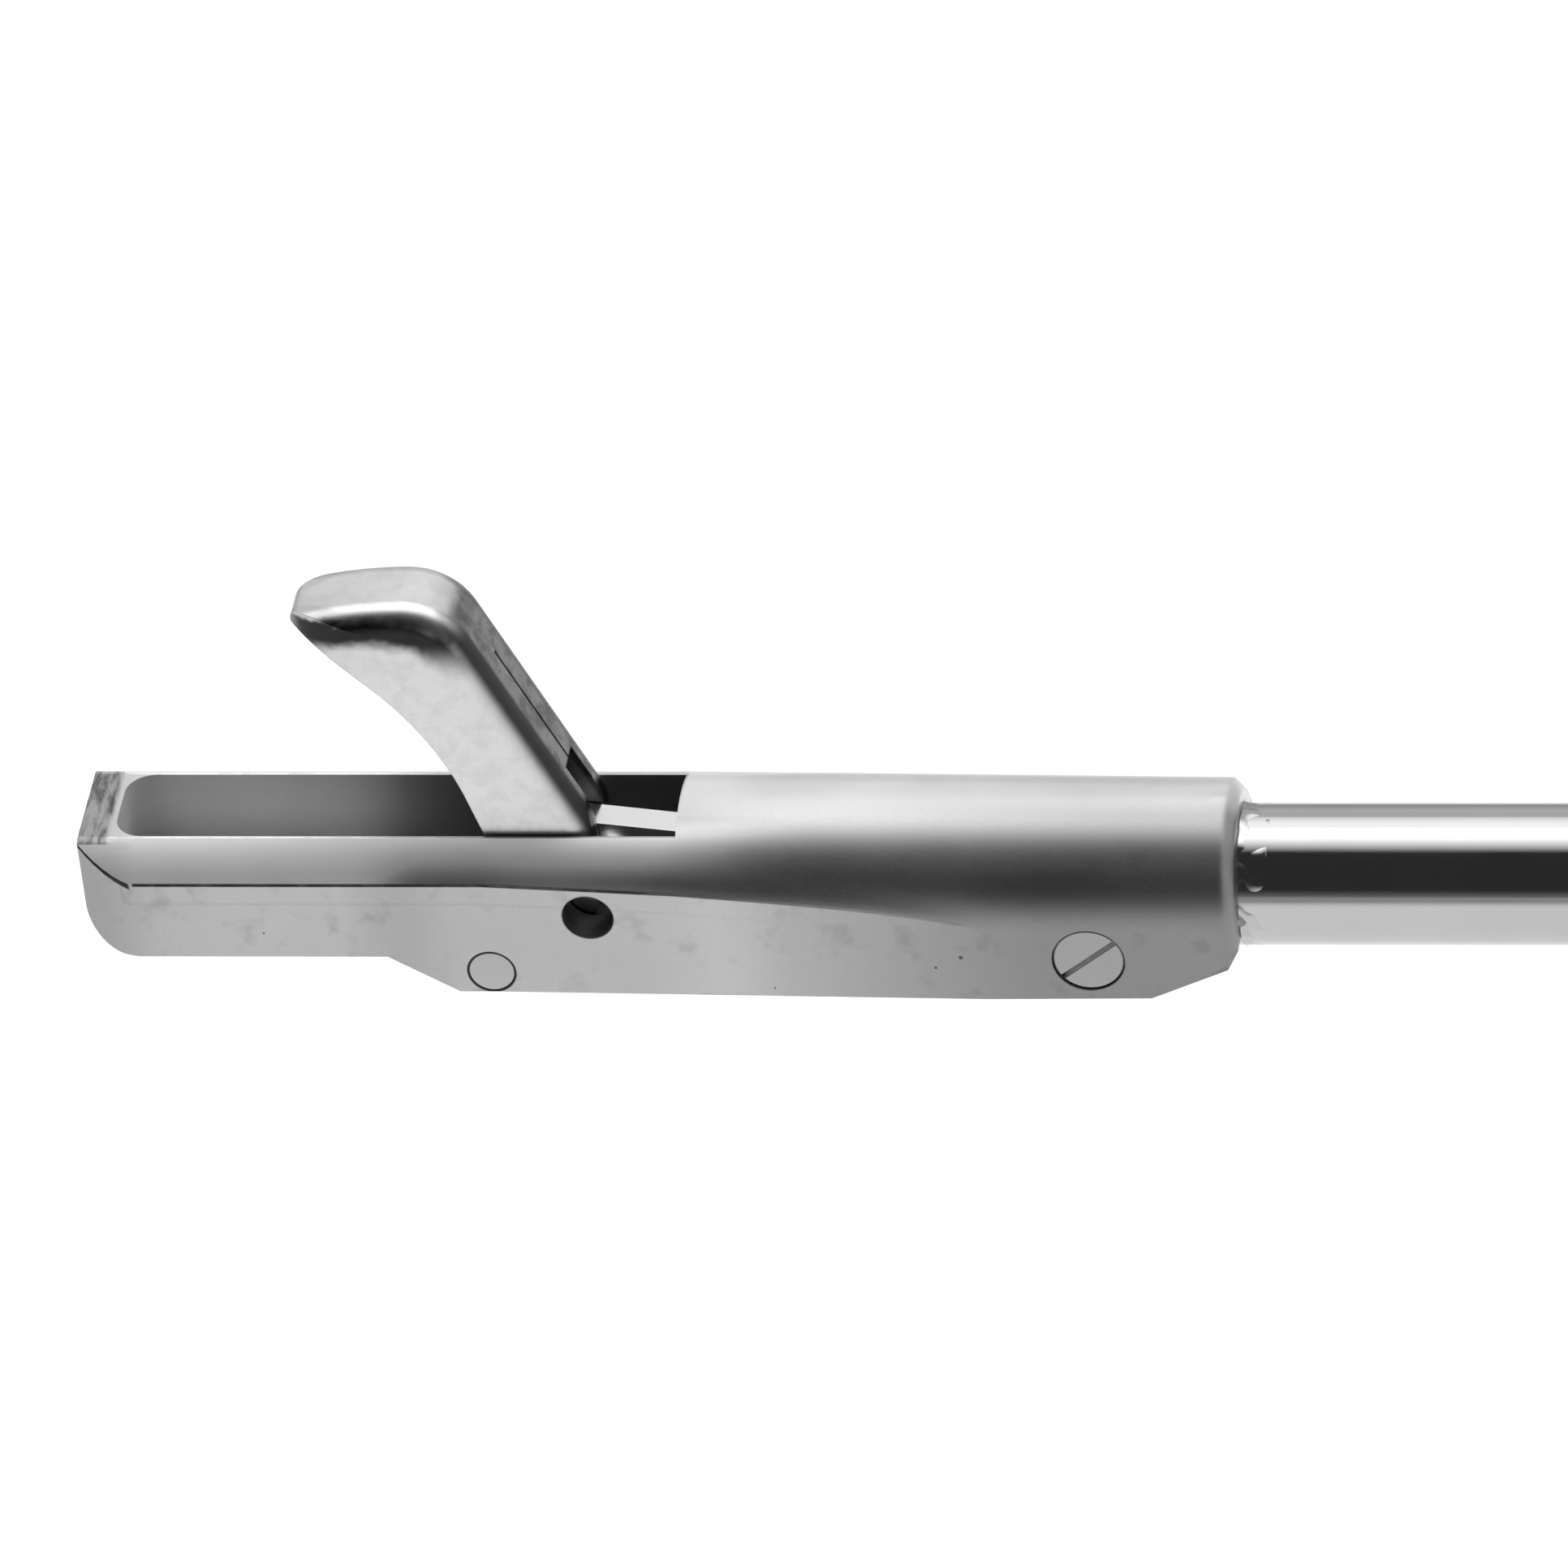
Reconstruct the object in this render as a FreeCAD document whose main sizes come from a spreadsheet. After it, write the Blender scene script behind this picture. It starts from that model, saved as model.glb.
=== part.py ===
"""Biopsy punch: a long-shafted forceps whose upper jaw bites into a windowed head.

Millimetres. The origin is on the shaft's axis at the rear face of the head,
+X runs back to the handle, +Z is the way the jaw opens, Y runs across.
"""
import FreeCAD, Part
import Sketcher
import math
import os

SIZES = [
    ("head_length", 37.05), ("head_radius_mouth", 3.24), ("head_radius_rear", 3.05),
    ("head_bottom", 2.61), ("mouth_x", 17.76), ("deck_height", 2.69),
    ("cheek_front", 2.785), ("cheek_rear", 3.16), ("cheek_flare_x", 24.0),
    ("cheek_end_x", 7.0), ("nose_half_width", 1.92), ("nose_round_x", 35.35),
    ("nose_bend", 3.4), ("nose_bottom_radius", 1.4), ("lower_jaw_bottom", 1.23),
    ("lower_jaw_end_x", 27.3), ("lower_jaw_step_x", 25.1), ("rear_chamfer_x", 2.85),
    ("rear_chamfer_height", 1.36), ("rear_bevel", 0.35), ("window_half", 1.62),
    ("window_front", 11.92), ("window_corner", 0.9), ("pocket_floor", 0.75),
    ("hub_slot_front", 2.2),
    ("hub_slot_rear", 1.6), ("cavity_floor", 1.75), ("barrel_bore", 1.68),
    ("tube_seat_x", 9.0), ("blade_room_half", 0.62), ("blade_room_top", 2.56),
    ("pivot_x", 24.0), ("pivot_drop", 1.82), ("pivot_radius", 0.72),
    ("pivot_hole", 0.73), ("access_x", 20.66), ("access_z", 0.4),
    ("access_radius", 0.83), ("stop_x", 4.74), ("stop_face", 3.09), ("stop_drop", 1.1),
    ("stop_head", 1.15), ("stop_head_depth", 0.55), ("stop_shank", 0.8),
    ("stop_slot", 0.18), ("stop_slot_tilt", 37.3), ("fit_gap", 0.01),
    ("jaw_half", 1.55), ("jaw_tip_x", 5.4), ("jaw_tip_z", 12.12),
    ("jaw_nose_x", 5.05), ("jaw_nose_z", 12.72), ("jaw_nose_round", 0.45),
    ("jaw_beak_length", 2.4), ("jaw_beak_half", 0.5),
    ("jaw_back_x", 0.3), ("jaw_back_z", 11.81), ("jaw_back_slope", 65.3),
    ("jaw_crown", 2.3), ("jaw_back_length", 7.2), ("jaw_heel_x", 3.55),
    ("jaw_heel_z", 3.2), ("jaw_foot_x", 3.1), ("jaw_foot_z", 0.75),
    ("jaw_front_x", 0.12), ("jaw_front_z", 4.34), ("jaw_arch_x", 0.42),
    ("jaw_arch_z", 6.13), ("jaw_arch_bend", 10.63), ("jaw_hub", 1.15),
    ("jaw_bore", 0.76), ("jaw_rim", 0.42), ("jaw_edge_round", 0.75),
    ("jaw_slot_half", 0.56), ("jaw_slot_top", 6.45), ("jaw_slot_root", 1.9),
    ("jaw_slot_heel", 0.6),
    ("jaw_crease", 0.1), ("jaw_crease_top", 10.6),
    ("crank_radius", 4.0), ("crank_rest", 67.0), ("drive_pin_radius", 0.45),
    ("blade_half", 0.5), ("blade_notch", 0.51), ("blade_nose", 1.2),
    ("blade_top", 2.41), ("blade_top_x", 20.8), ("blade_fall", 7.4),
    ("blade_rear_x", 8.6), ("rivet_radius", 0.45), ("rivet_front_x", 11.4),
    ("rivet_rear_x", 9.7), ("tube_outer", 2.25), ("tube_inner", 1.65),
    ("tube_front_x", 8.95), ("tube_end", 12.0), ("braze_length", 0.3),
    ("braze_height", 0.2), ("rod_radius", 1.5), ("rod_front_x", 12.5),
    ("rod_slot_x", 8.5), ("rod_notch_front", 5.7), ("rod_notch_rear", 0.75),
    ("rod_notch_top", 0.18), ("rod_end", 24.5), ("shaft_length", 186.0),
    ("hub_rear", 36.0), ("hub_radius", 5.2), ("hub_half", 5.0), ("hub_plate", 14.0),
    ("spigot", 4.5), ("spigot_radius", 3.4), ("nut_front", 6.4), ("nut_radius", 4.9),
    ("nut_lip", 1.4), ("ferrule_wall", 1.0), ("nut_chamber", 3.0), ("bush_front", 12.1),
    ("bush_end", 14.4), ("bush_bore", 1.56), ("chamber", 20.5), ("chamber_half", 2.5),
    ("lever_back", 28.0), ("lever_z", 10.5), ("lever_swing", 8.466),
    ("lever_half", 2.2), ("lever_head", 4.2), ("lever_plate_half", 4.0),
    ("lever_plate_end", 18.0), ("lever_slot_half", 1.06), ("lever_bush", 2.3),
    ("tongue_half", 1.0), ("tongue_height", 2.3), ("tongue_shoulder", 4.8),
    ("tongue_round", 2.35), ("tongue_round_length", 4.0), ("tongue_tail", 2.4),
    ("fork_pin", 1.0), ("lock_nut_flat", 2.3), ("lock_nut_length", 2.0),
    ("screw_shank", 1.5), ("screw_head", 2.9), ("screw_head_height", 1.2),
    ("washer_radius", 3.7), ("washer_thickness", 0.26), ("cap_nut_height", 1.8),
    ("set_screw", 5.0), ("set_screw_radius", 1.0), ("arm", 9.0),
    ("arm_top", 3.5), ("arm_bend", 228.5), ("arm_angle", 16.1),
    ("lever_arm_top", 13.0), ("lever_arm_bend", 108.3), ("lever_arm_angle", 35.0),
    ("arm_half_width", 3.1), ("arm_half_depth", 2.1), ("arm_bevel", 1.0), ("ring_inner", 10.5),
    ("ring_outer", 13.6), ("ring_half", 2.25), ("ring_bevel", 1.1),
]
SIZE_VALUES = dict(SIZES)


def as_size(number):
    return number if isinstance(number, Size) else Size(float(number), repr(float(number)))


class Size:
    """A number that carries the expression which works it out from the sheet."""

    def __init__(self, value, text):
        self.value = value
        self.text = text

    def combine(self, sign, other, value):
        return Size(value, "(%s %s %s)" % (self.text, sign, other.text))

    def __add__(self, other):
        other = as_size(other)
        return self.combine("+", other, self.value + other.value)

    def __radd__(self, other):
        return as_size(other) + self

    def __sub__(self, other):
        other = as_size(other)
        return self.combine("-", other, self.value - other.value)

    def __rsub__(self, other):
        return as_size(other) - self

    def __mul__(self, other):
        other = as_size(other)
        return self.combine("*", other, self.value * other.value)

    def __rmul__(self, other):
        return as_size(other) * self

    def __truediv__(self, other):
        other = as_size(other)
        return self.combine("/", other, self.value / other.value)

    def __neg__(self):
        return Size(-self.value, "(0 - %s)" % self.text)


def size(name):
    return Size(SIZE_VALUES[name], "Sizes." + name)


def root(number):
    return Size(math.sqrt(number.value), "sqrt(%s)" % number.text)


def sine(degrees):
    degrees = as_size(degrees)
    return Size(math.sin(math.radians(degrees.value)), "sin(%s)" % degrees.text)


def cosine(degrees):
    degrees = as_size(degrees)
    return Size(math.cos(math.radians(degrees.value)), "cos(%s)" % degrees.text)


def polar(radius, degrees):
    """Point at a distance and an angle from the sketch's origin."""
    return radius * cosine(degrees), radius * sine(degrees)


doc = FreeCAD.newDocument("BiopsyPunch")
sheet = doc.addObject("Spreadsheet::Sheet", "Sizes")
for row, (alias, number) in enumerate(SIZES, 1):
    sheet.set("A%d" % row, alias)
    sheet.set("B%d" % row, str(number))
    sheet.setAlias("B%d" % row, alias)
doc.recompute()

BODIES = []


def new_body(name):
    body = doc.addObject("PartDesign::Body", name)
    body.Label = name
    BODIES.append(body)
    return body


def bind(target, name, number):
    number = as_size(number)
    target.setExpression(name, number.text)


def new_sketch(body, plane, offset=None):
    """Sketch on one of the body's own planes, moved along its normal by the offset."""
    sketch = body.newObject("Sketcher::SketchObject", "Sketch")
    support = [item for item in body.Origin.OriginFeatures if item.Role == plane + "_Plane"]
    sketch.AttachmentSupport = (support[0], [""])
    sketch.MapMode = "FlatFace"
    if offset is not None:
        sketch.AttachmentOffset.Base.z = as_size(offset).value
        bind(sketch, "AttachmentOffset.Base.z", offset)
    return sketch


def constrain(sketch, items):
    """Add constraints given as (arguments, size) and tie each size to the sheet."""
    first = sketch.ConstraintCount
    sketch.addConstraint([Sketcher.Constraint(*arguments) for arguments, number in items])
    for index, (arguments, number) in enumerate(items):
        if number is not None:
            bind(sketch, "Constraints[%d]" % (first + index), number)


def add_circle(sketch, x, y, radius):
    x, y, radius = as_size(x), as_size(y), as_size(radius)
    centre = FreeCAD.Vector(x.value, y.value, 0)
    index = sketch.addGeometry(Part.Circle(centre, FreeCAD.Vector(0, 0, 1), radius.value))
    constrain(sketch, [(("DistanceX", index, 3, x.value), x),
                       (("DistanceY", index, 3, y.value), y),
                       (("Radius", index, radius.value), radius)])


def add_outline(sketch, points, closed=True):
    """Chain of lines and arcs through points (x, y) or (x, y, radius).

    The radius is that of the arc which runs on to the next point:
    plus turns left, minus turns right.
    """
    first = sketch.GeometryCount
    places = [(as_size(point[0]), as_size(point[1])) for point in points]
    turns = [as_size(point[2]) if len(point) > 2 else None for point in points]
    count = len(points) if closed else len(points) - 1
    shapes = []
    ends = []
    for index in range(count):
        start, end = places[index], places[(index + 1) % len(places)]
        a = FreeCAD.Vector(start[0].value, start[1].value, 0)
        b = FreeCAD.Vector(end[0].value, end[1].value, 0)
        turn = turns[index]
        if turn is None:
            shapes.append(Part.LineSegment(a, b))
            ends.append((1, 2))
            continue
        radius = abs(turn.value)
        chord = b - a
        left = FreeCAD.Vector(-chord.y, chord.x, 0).normalize()
        rise = math.sqrt(max(radius ** 2 - (chord.Length / 2) ** 2, 0))
        centre = (a + b) * 0.5 + left * math.copysign(rise, turn.value)
        first_end, last_end = (a, b) if turn.value > 0 else (b, a)
        angles = [math.atan2(p.y - centre.y, p.x - centre.x) for p in (first_end, last_end)]
        circle = Part.Circle(centre, FreeCAD.Vector(0, 0, 1), radius)
        shapes.append(Part.ArcOfCircle(circle, angles[0], angles[1]))
        ends.append((1, 2) if turn.value > 0 else (2, 1))
    sketch.addGeometry(shapes)
    items = []
    for index in range(count):
        edge = first + index
        x, y = places[index]
        items.append((("DistanceX", edge, ends[index][0], x.value), x))
        items.append((("DistanceY", edge, ends[index][0], y.value), y))
        turn = turns[index]
        if turn is not None:
            radius = turn if turn.value > 0 else -turn
            items.append((("Radius", edge, radius.value), radius))
        if closed or index < count - 1:
            after = (index + 1) % count
            items.append((("Coincident", edge, ends[index][1], first + after,
                           ends[after][0]), None))
    if not closed:
        x, y = places[-1]
        last = first + count - 1
        items.append((("DistanceX", last, ends[-1][1], x.value), x))
        items.append((("DistanceY", last, ends[-1][1], y.value), y))
    constrain(sketch, items)


def add_box(sketch, x_low, x_high, y_low, y_high):
    add_outline(sketch, [(x_low, y_low), (x_high, y_low), (x_high, y_high), (x_low, y_high)])


def extrude(body, kind, sketch, length, symmetric=True, reverse=False):
    """Pad or pocket; a symmetric one is given its half length."""
    feature = body.newObject("PartDesign::" + kind, kind)
    feature.Profile = sketch
    feature.SideType = "Symmetric" if symmetric else "One side"
    feature.Reversed = reverse
    bind(feature, "Length", as_size(length) * 2 if symmetric else length)
    sketch.Visibility = False
    body.Tip = feature
    return feature


def turn(body, kind, sketch, axis, degrees=360.0, reverse=False):
    """Revolution or groove about a sketch axis: H_Axis, V_Axis or Axis0."""
    feature = body.newObject("PartDesign::" + kind, kind)
    feature.Profile = sketch
    feature.ReferenceAxis = (sketch, [axis])
    feature.Reversed = reverse
    bind(feature, "Angle", degrees)
    body.Tip = feature
    return feature


def soften(body, kind, amount, wanted):
    """Fillet or chamfer the edges that the test picks, by their middle and box."""
    doc.recompute()
    base = body.Tip
    names = ["Edge%d" % number for number, edge in enumerate(base.Shape.Edges, 1)
             if wanted(edge, edge.CenterOfMass, edge.BoundBox)]
    feature = body.newObject("PartDesign::" + kind, kind)
    feature.Base = (base, names)
    bind(feature, "Radius" if kind == "Fillet" else "Size", amount)
    body.Tip = feature
    return feature


def place(body, x, y, z, degrees=None):
    """Put the body at a point, turned about Y by the angle."""
    x, y, z = as_size(x), as_size(y), as_size(z)
    spot = FreeCAD.Vector(x.value, y.value, z.value)
    angle = as_size(0 if degrees is None else degrees)
    body.Placement = FreeCAD.Placement(spot, FreeCAD.Rotation(FreeCAD.Vector(0, 1, 0), angle.value))
    bind(body, "Placement.Base.x", x)
    bind(body, "Placement.Base.y", y)
    bind(body, "Placement.Base.z", z)
    if degrees is not None:
        bind(body, "Placement.Rotation.Angle", angle)


def cross_cylinder(name, x, z, radius, half_length):
    """Plain pin along Y, centred on the shaft's middle plane."""
    body = new_body(name)
    sketch = new_sketch(body, "XZ")
    add_circle(sketch, 0, 0, radius)
    extrude(body, "Pad", sketch, half_length)
    place(body, x, 0, z)
    return body


FIT = size("fit_gap")
PIVOT_X, PIVOT_Z = -size("pivot_x"), -size("pivot_drop")
FAR = Size(8.0, "8.0")
SPIGOT_X = size("shaft_length") - size("spigot")
NUT_X = size("shaft_length") - size("nut_front")


def along(name):
    """X of a place in the handle, given by its distance behind the front of the hub."""
    return size("shaft_length") + size(name)


def arch_section(body, x, radius):
    """The head's section at one X: a round top on straight sides with a flat bottom."""
    sketch = new_sketch(body, "YZ", x)
    bottom = -size("head_bottom")
    add_outline(sketch, [(-radius, bottom), (radius, bottom), (radius, 0, radius),
                         (0, radius, radius), (-radius, 0)])
    return sketch


def cut_side_profile(body, points, half_width):
    sketch = new_sketch(body, "XZ")
    add_outline(sketch, points)
    return extrude(body, "Pocket", sketch, half_width)


def make_head():
    body = new_body("jaw_head")
    front, rear = size("head_radius_mouth"), size("head_radius_rear")
    nose, mouth = -size("head_length"), -size("mouth_x")
    extrude(body, "Pad", arch_section(body, nose, front), size("head_length") - size("mouth_x"),
            symmetric=False)
    loft = body.newObject("PartDesign::AdditiveLoft", "Loft")
    loft.Profile = arch_section(body, mouth, front)
    loft.Sections = [(arch_section(body, as_size(0), rear), [""])]
    loft.Ruled = True
    body.Tip = loft

    # Flat cheeks, narrow at the nose and flaring towards the shaft.
    for side in (-1, 1):
        cheek, flare = size("cheek_front"), size("cheek_rear")
        round_x, bend = -size("nose_round_x"), size("nose_bend")
        sketch = new_sketch(body, "XY")
        points = [(nose, side * size("nose_half_width"), side * -bend), (round_x, side * cheek),
                  (-size("cheek_flare_x"), side * cheek), (-size("cheek_end_x"), side * flare),
                  (-size("cheek_end_x"), side * FAR), (nose - 3, side * FAR),
                  (nose - 3, side * size("nose_half_width"))]
        add_outline(sketch, points)
        extrude(body, "Pocket", sketch, FAR)

    # Flat deck in front of the mouth, then the underside of nose and rear.
    deck = size("deck_height")
    cut_side_profile(body, [(nose - 3, deck), (mouth, deck), (mouth, FAR), (nose - 3, FAR)], FAR)
    low, corner = -size("lower_jaw_bottom"), size("nose_bottom_radius")
    cut_side_profile(body, [(nose - 3, -FAR), (-size("lower_jaw_step_x"), -FAR),
                            (-size("lower_jaw_step_x"), -size("head_bottom")),
                            (-size("lower_jaw_end_x"), low), (nose + corner, low, -corner),
                            (nose, low + corner), (nose - 3, low + corner)], FAR)
    cut_side_profile(body, [(-size("rear_chamfer_x"), -FAR), (3, -FAR),
                            (3, -size("rear_chamfer_height")), (0, -size("rear_chamfer_height")),
                            (-size("rear_chamfer_x"), -size("head_bottom"))], FAR)

    # Window for the bite, with rounded front corners.
    half, corner = size("window_half"), size("window_corner")
    front_x = PIVOT_X - size("window_front")
    sketch = new_sketch(body, "XY", -size("pocket_floor"))
    add_outline(sketch, [(front_x, corner - half, corner), (front_x + corner, -half),
                         (mouth, -half), (mouth, half), (front_x + corner, half, corner),
                         (front_x, half - corner)])
    extrude(body, "Pocket", sketch, FAR, symmetric=False, reverse=True)

    # Slot round the jaw's hub, floor behind it, and the passage into the barrel.
    cut_side_profile(body, [(PIVOT_X - size("hub_slot_front"), -FAR),
                            (PIVOT_X + size("hub_slot_rear"), -FAR),
                            (PIVOT_X + size("hub_slot_rear"), 0),
                            (PIVOT_X - size("hub_slot_front"), 0)], half)
    floor = -size("cavity_floor")
    cut_side_profile(body, [(PIVOT_X, floor), (mouth - 0.35, floor), (mouth, floor + 0.35),
                            (mouth, 0), (PIVOT_X, 0)], half)
    seat, bore = size("tube_outer") + FIT, size("barrel_bore")
    seat_x = -size("tube_seat_x")
    sketch = new_sketch(body, "XZ")
    add_outline(sketch, [(mouth - 0.5, 0), (1, 0), (1, seat), (seat_x, seat), (seat_x, bore),
                         (mouth - 0.5, bore)])
    turn(body, "Groove", sketch, "H_Axis")
    top = size("blade_room_top")
    cut_side_profile(body, [(mouth - 0.5, 0), (-10, 0), (-10, 1.2), (-12.4, 1.9),
                            (mouth + 0.6, top), (mouth - 0.5, top)], size("blade_room_half"))

    # Cross holes: pivot, assembly hole, stop screw with its sunk head.
    sketch = new_sketch(body, "XZ")
    add_circle(sketch, PIVOT_X, PIVOT_Z, size("pivot_hole"))
    add_circle(sketch, -size("access_x"), size("access_z"), size("access_radius"))
    add_circle(sketch, -size("stop_x"), -size("stop_drop"), size("stop_shank") + FIT)
    extrude(body, "Pocket", sketch, FAR)
    depth = size("stop_face") - size("stop_head_depth")
    sketch = new_sketch(body, "XZ", depth)
    add_circle(sketch, -size("stop_x"), -size("stop_drop"), size("stop_head") + 2 * FIT)
    extrude(body, "Pocket", sketch, 3, symmetric=False, reverse=True)
    soften(body, "Chamfer", size("rear_bevel"),
           lambda edge, middle, box: abs(middle.x) < 0.01 and box.XLength < 0.01
           and (middle.y ** 2 + middle.z ** 2 > 6 or box.YLength > 5.2))
    return body


def make_upper_jaw():
    """The jaw as it stands open, drawn about its pivot."""
    body = new_body("upper_jaw")
    tip = (-size("jaw_tip_x"), size("jaw_tip_z"))
    nose = (-size("jaw_nose_x"), size("jaw_nose_z"))
    back = (size("jaw_back_x"), size("jaw_back_z"))
    slope, crown, hub = size("jaw_back_slope"), size("jaw_crown"), size("jaw_hub")
    apex = (back[0] - crown * sine(slope), back[1] - crown * cosine(slope) + crown)
    run, rise = apex[0] - nose[0], apex[1] - nose[1]
    top_bend = (run * run + rise * rise) / (2 * rise)
    long = size("jaw_back_length")
    back_end = (back[0] + long * cosine(slope), back[1] - long * sine(slope))
    heel = (size("jaw_heel_x"), size("jaw_heel_z"))
    foot = (size("jaw_foot_x"), size("jaw_foot_z"))
    front = (size("jaw_front_x"), size("jaw_front_z"))
    arch = (-size("jaw_arch_x"), size("jaw_arch_z"))
    sketch = new_sketch(body, "XZ")
    add_outline(sketch, [tip + (-size("jaw_nose_round"),), nose + (-top_bend,),
                         apex + (-crown,), back, back_end + (-5 * hub,), heel + (-4 * hub,), foot,
                         polar(hub, 10) + (-hub,), polar(hub, 320) + (-hub,), polar(hub, 190),
                         front, arch + (size("jaw_arch_bend"),)])
    extrude(body, "Pad", sketch, size("jaw_half"))
    side = size("jaw_half").value
    soften(body, "Fillet", size("jaw_edge_round"),
           lambda edge, middle, box: abs(abs(middle.y) - side) < 0.01 and box.YLength < 0.01
           and middle.z > 0.65 * back[1].value and middle.x > nose[0].value
           and (middle.x > -1 or middle.z > tip[1].value))

    # Beak: the sides close in on a narrow tip, tangent to the flat sides.
    beak, beak_half = size("jaw_beak_length"), size("jaw_beak_half")
    narrow = size("jaw_half") - beak_half
    bend = (beak * beak + narrow * narrow) / (2 * narrow)
    for hand in (-1, 1):
        sketch = new_sketch(body, "XY")
        add_outline(sketch, [(tip[0] - 1, hand * beak_half), (tip[0], hand * beak_half, hand * -bend),
                             (tip[0] + beak, hand * size("jaw_half")), (tip[0] + beak, hand * FAR),
                             (tip[0] - 1, hand * FAR)])
        extrude(body, "Pocket", sketch, 2 * FAR)

    # Hollow of the bite, opened from below, with a sharp rim left all round.
    rim = size("jaw_rim")
    sketch = new_sketch(body, "XZ")
    hollow_front = tip[0] + 0.62 * beak
    add_outline(sketch, [(hollow_front, tip[1] - 3), (hollow_front, nose[1] - 1.2 * rim),
                         (apex[0], apex[1] - 1.5 * rim), (back[0] - 1.7 * rim, back[1] - rim),
                         (back[0] + 1.0, back[1] - 4.2), (arch[0] + 0.15, arch[1] + 0.5),
                         (arch[0] - 3, arch[1] + 0.5)])
    extrude(body, "Pocket", sketch, size("jaw_half") - rim)

    # Slot for the drive blade, the two cross bores, and the crease along the back.
    low, high = size("jaw_slot_root"), size("jaw_slot_top")
    sketch = new_sketch(body, "XZ")
    under = -size("jaw_slot_heel")
    add_outline(sketch, [(-hub, low), (-hub, low + 1.6), (back[0], high - 0.8),
                         (back[0] + 2.2, high), (FAR, high), (FAR, under),
                         (heel[0] - hub / 2, under), (low / 2 + 0.1, low)])
    extrude(body, "Pocket", sketch, size("jaw_slot_half"))
    sketch = new_sketch(body, "XZ")
    add_circle(sketch, 0, 0, size("jaw_bore"))
    crank_x, crank_z = polar(size("crank_radius"), size("crank_rest"))
    add_circle(sketch, crank_x, crank_z, size("drive_pin_radius") + FIT)
    extrude(body, "Pocket", sketch, FAR)
    lean = cosine(slope) / sine(slope)
    depth, upper = size("jaw_crease") / sine(slope), size("jaw_crease_top")
    start = back[0] + (back[1] - upper) * lean - depth
    stop = back[0] + (back[1] - high) * lean - depth
    sketch = new_sketch(body, "XZ")
    add_outline(sketch, [(start, upper), (stop, high), (stop + 1, high), (start + 1, upper)])
    extrude(body, "Pocket", sketch, 0.06)
    place(body, PIVOT_X, 0, PIVOT_Z)
    return body


def make_drive_pin():
    body = new_body("drive_pin")
    sketch = new_sketch(body, "XZ")
    crank_x, crank_z = polar(size("crank_radius"), size("crank_rest"))
    add_circle(sketch, crank_x, crank_z, size("drive_pin_radius"))
    extrude(body, "Pad", sketch, size("jaw_half") - 0.05)
    place(body, PIVOT_X, 0, PIVOT_Z)
    return body


def make_blade():
    """Flat blade whose open notch carries the drive pin; its tail sits in the rod."""
    body = new_body("drive_blade")
    rest = size("crank_rest")
    pin_x = PIVOT_X + size("crank_radius") * cosine(rest)
    pin_z = PIVOT_Z + size("crank_radius") * sine(rest)
    notch, nose = size("blade_notch"), pin_x - size("blade_nose")
    top, top_x = size("blade_top"), -size("blade_top_x")
    fall = sine(size("blade_fall"))
    mouth = -size("mouth_x")
    mouth_top = top - (size("blade_top_x") - size("mouth_x")) * fall
    tail = -size("blade_rear_x")
    sketch = new_sketch(body, "XZ")
    add_outline(sketch, [
        (nose + 0.5, 0.62), (mouth - 0.8, 0.2, -3.0), (mouth + 1.6, -1.2), (tail, -1.2),
        (tail, 1.2), (0.6 - size("rod_front_x"), 1.2, -4.0), (mouth + 3.4, 1.75),
        (mouth, mouth_top), (top_x, top),
        (pin_x + notch + 0.12, top + 0.14), (pin_x + notch, top + 0.02),
        (pin_x + notch, pin_z, -notch), (pin_x, pin_z - notch, -notch), (pin_x - notch, pin_z),
        (pin_x - notch, top + 0.02), (pin_x - notch - 0.12, top + 0.14),
        (nose + 0.35, top + 0.05, 0.5),
        (nose, top - 0.4), (nose, 1.12, 0.5)])
    extrude(body, "Pad", sketch, size("blade_half"))
    for x in (-size("rivet_front_x"), -size("rivet_rear_x")):
        sketch = new_sketch(body, "XZ")
        add_circle(sketch, x, 0, size("rivet_radius") + FIT)
        extrude(body, "Pocket", sketch, FAR)
    return body


def make_rod():
    body = new_body("drive_rod")
    radius, front = size("rod_radius"), -size("rod_front_x")
    sketch = new_sketch(body, "XZ")
    add_outline(sketch, [(front, 0), (front, radius - 0.3), (front + 0.3, radius),
                         (along("rod_end"), radius), (along("rod_end"), 0)])
    turn(body, "Revolution", sketch, "H_Axis")
    cut_side_profile(body, [(front - 1, -3), (-size("rod_slot_x"), -3), (-size("rod_slot_x"), 3),
                            (front - 1, 3)], size("blade_half") + FIT)
    sketch = new_sketch(body, "XZ")
    for x in (-size("rivet_front_x"), -size("rivet_rear_x")):
        add_circle(sketch, x, 0, size("rivet_radius") + FIT)
    extrude(body, "Pocket", sketch, FAR)

    # Flat under the rod: its two ends meet the stop screw and limit the stroke.
    roof = -size("rod_notch_top")
    cut_side_profile(body, [(-size("rod_notch_front"), -3), (-size("rod_notch_rear"), -3),
                            (-size("rod_notch_rear"), roof), (-size("rod_notch_front"), roof)], FAR)
    return body


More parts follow.
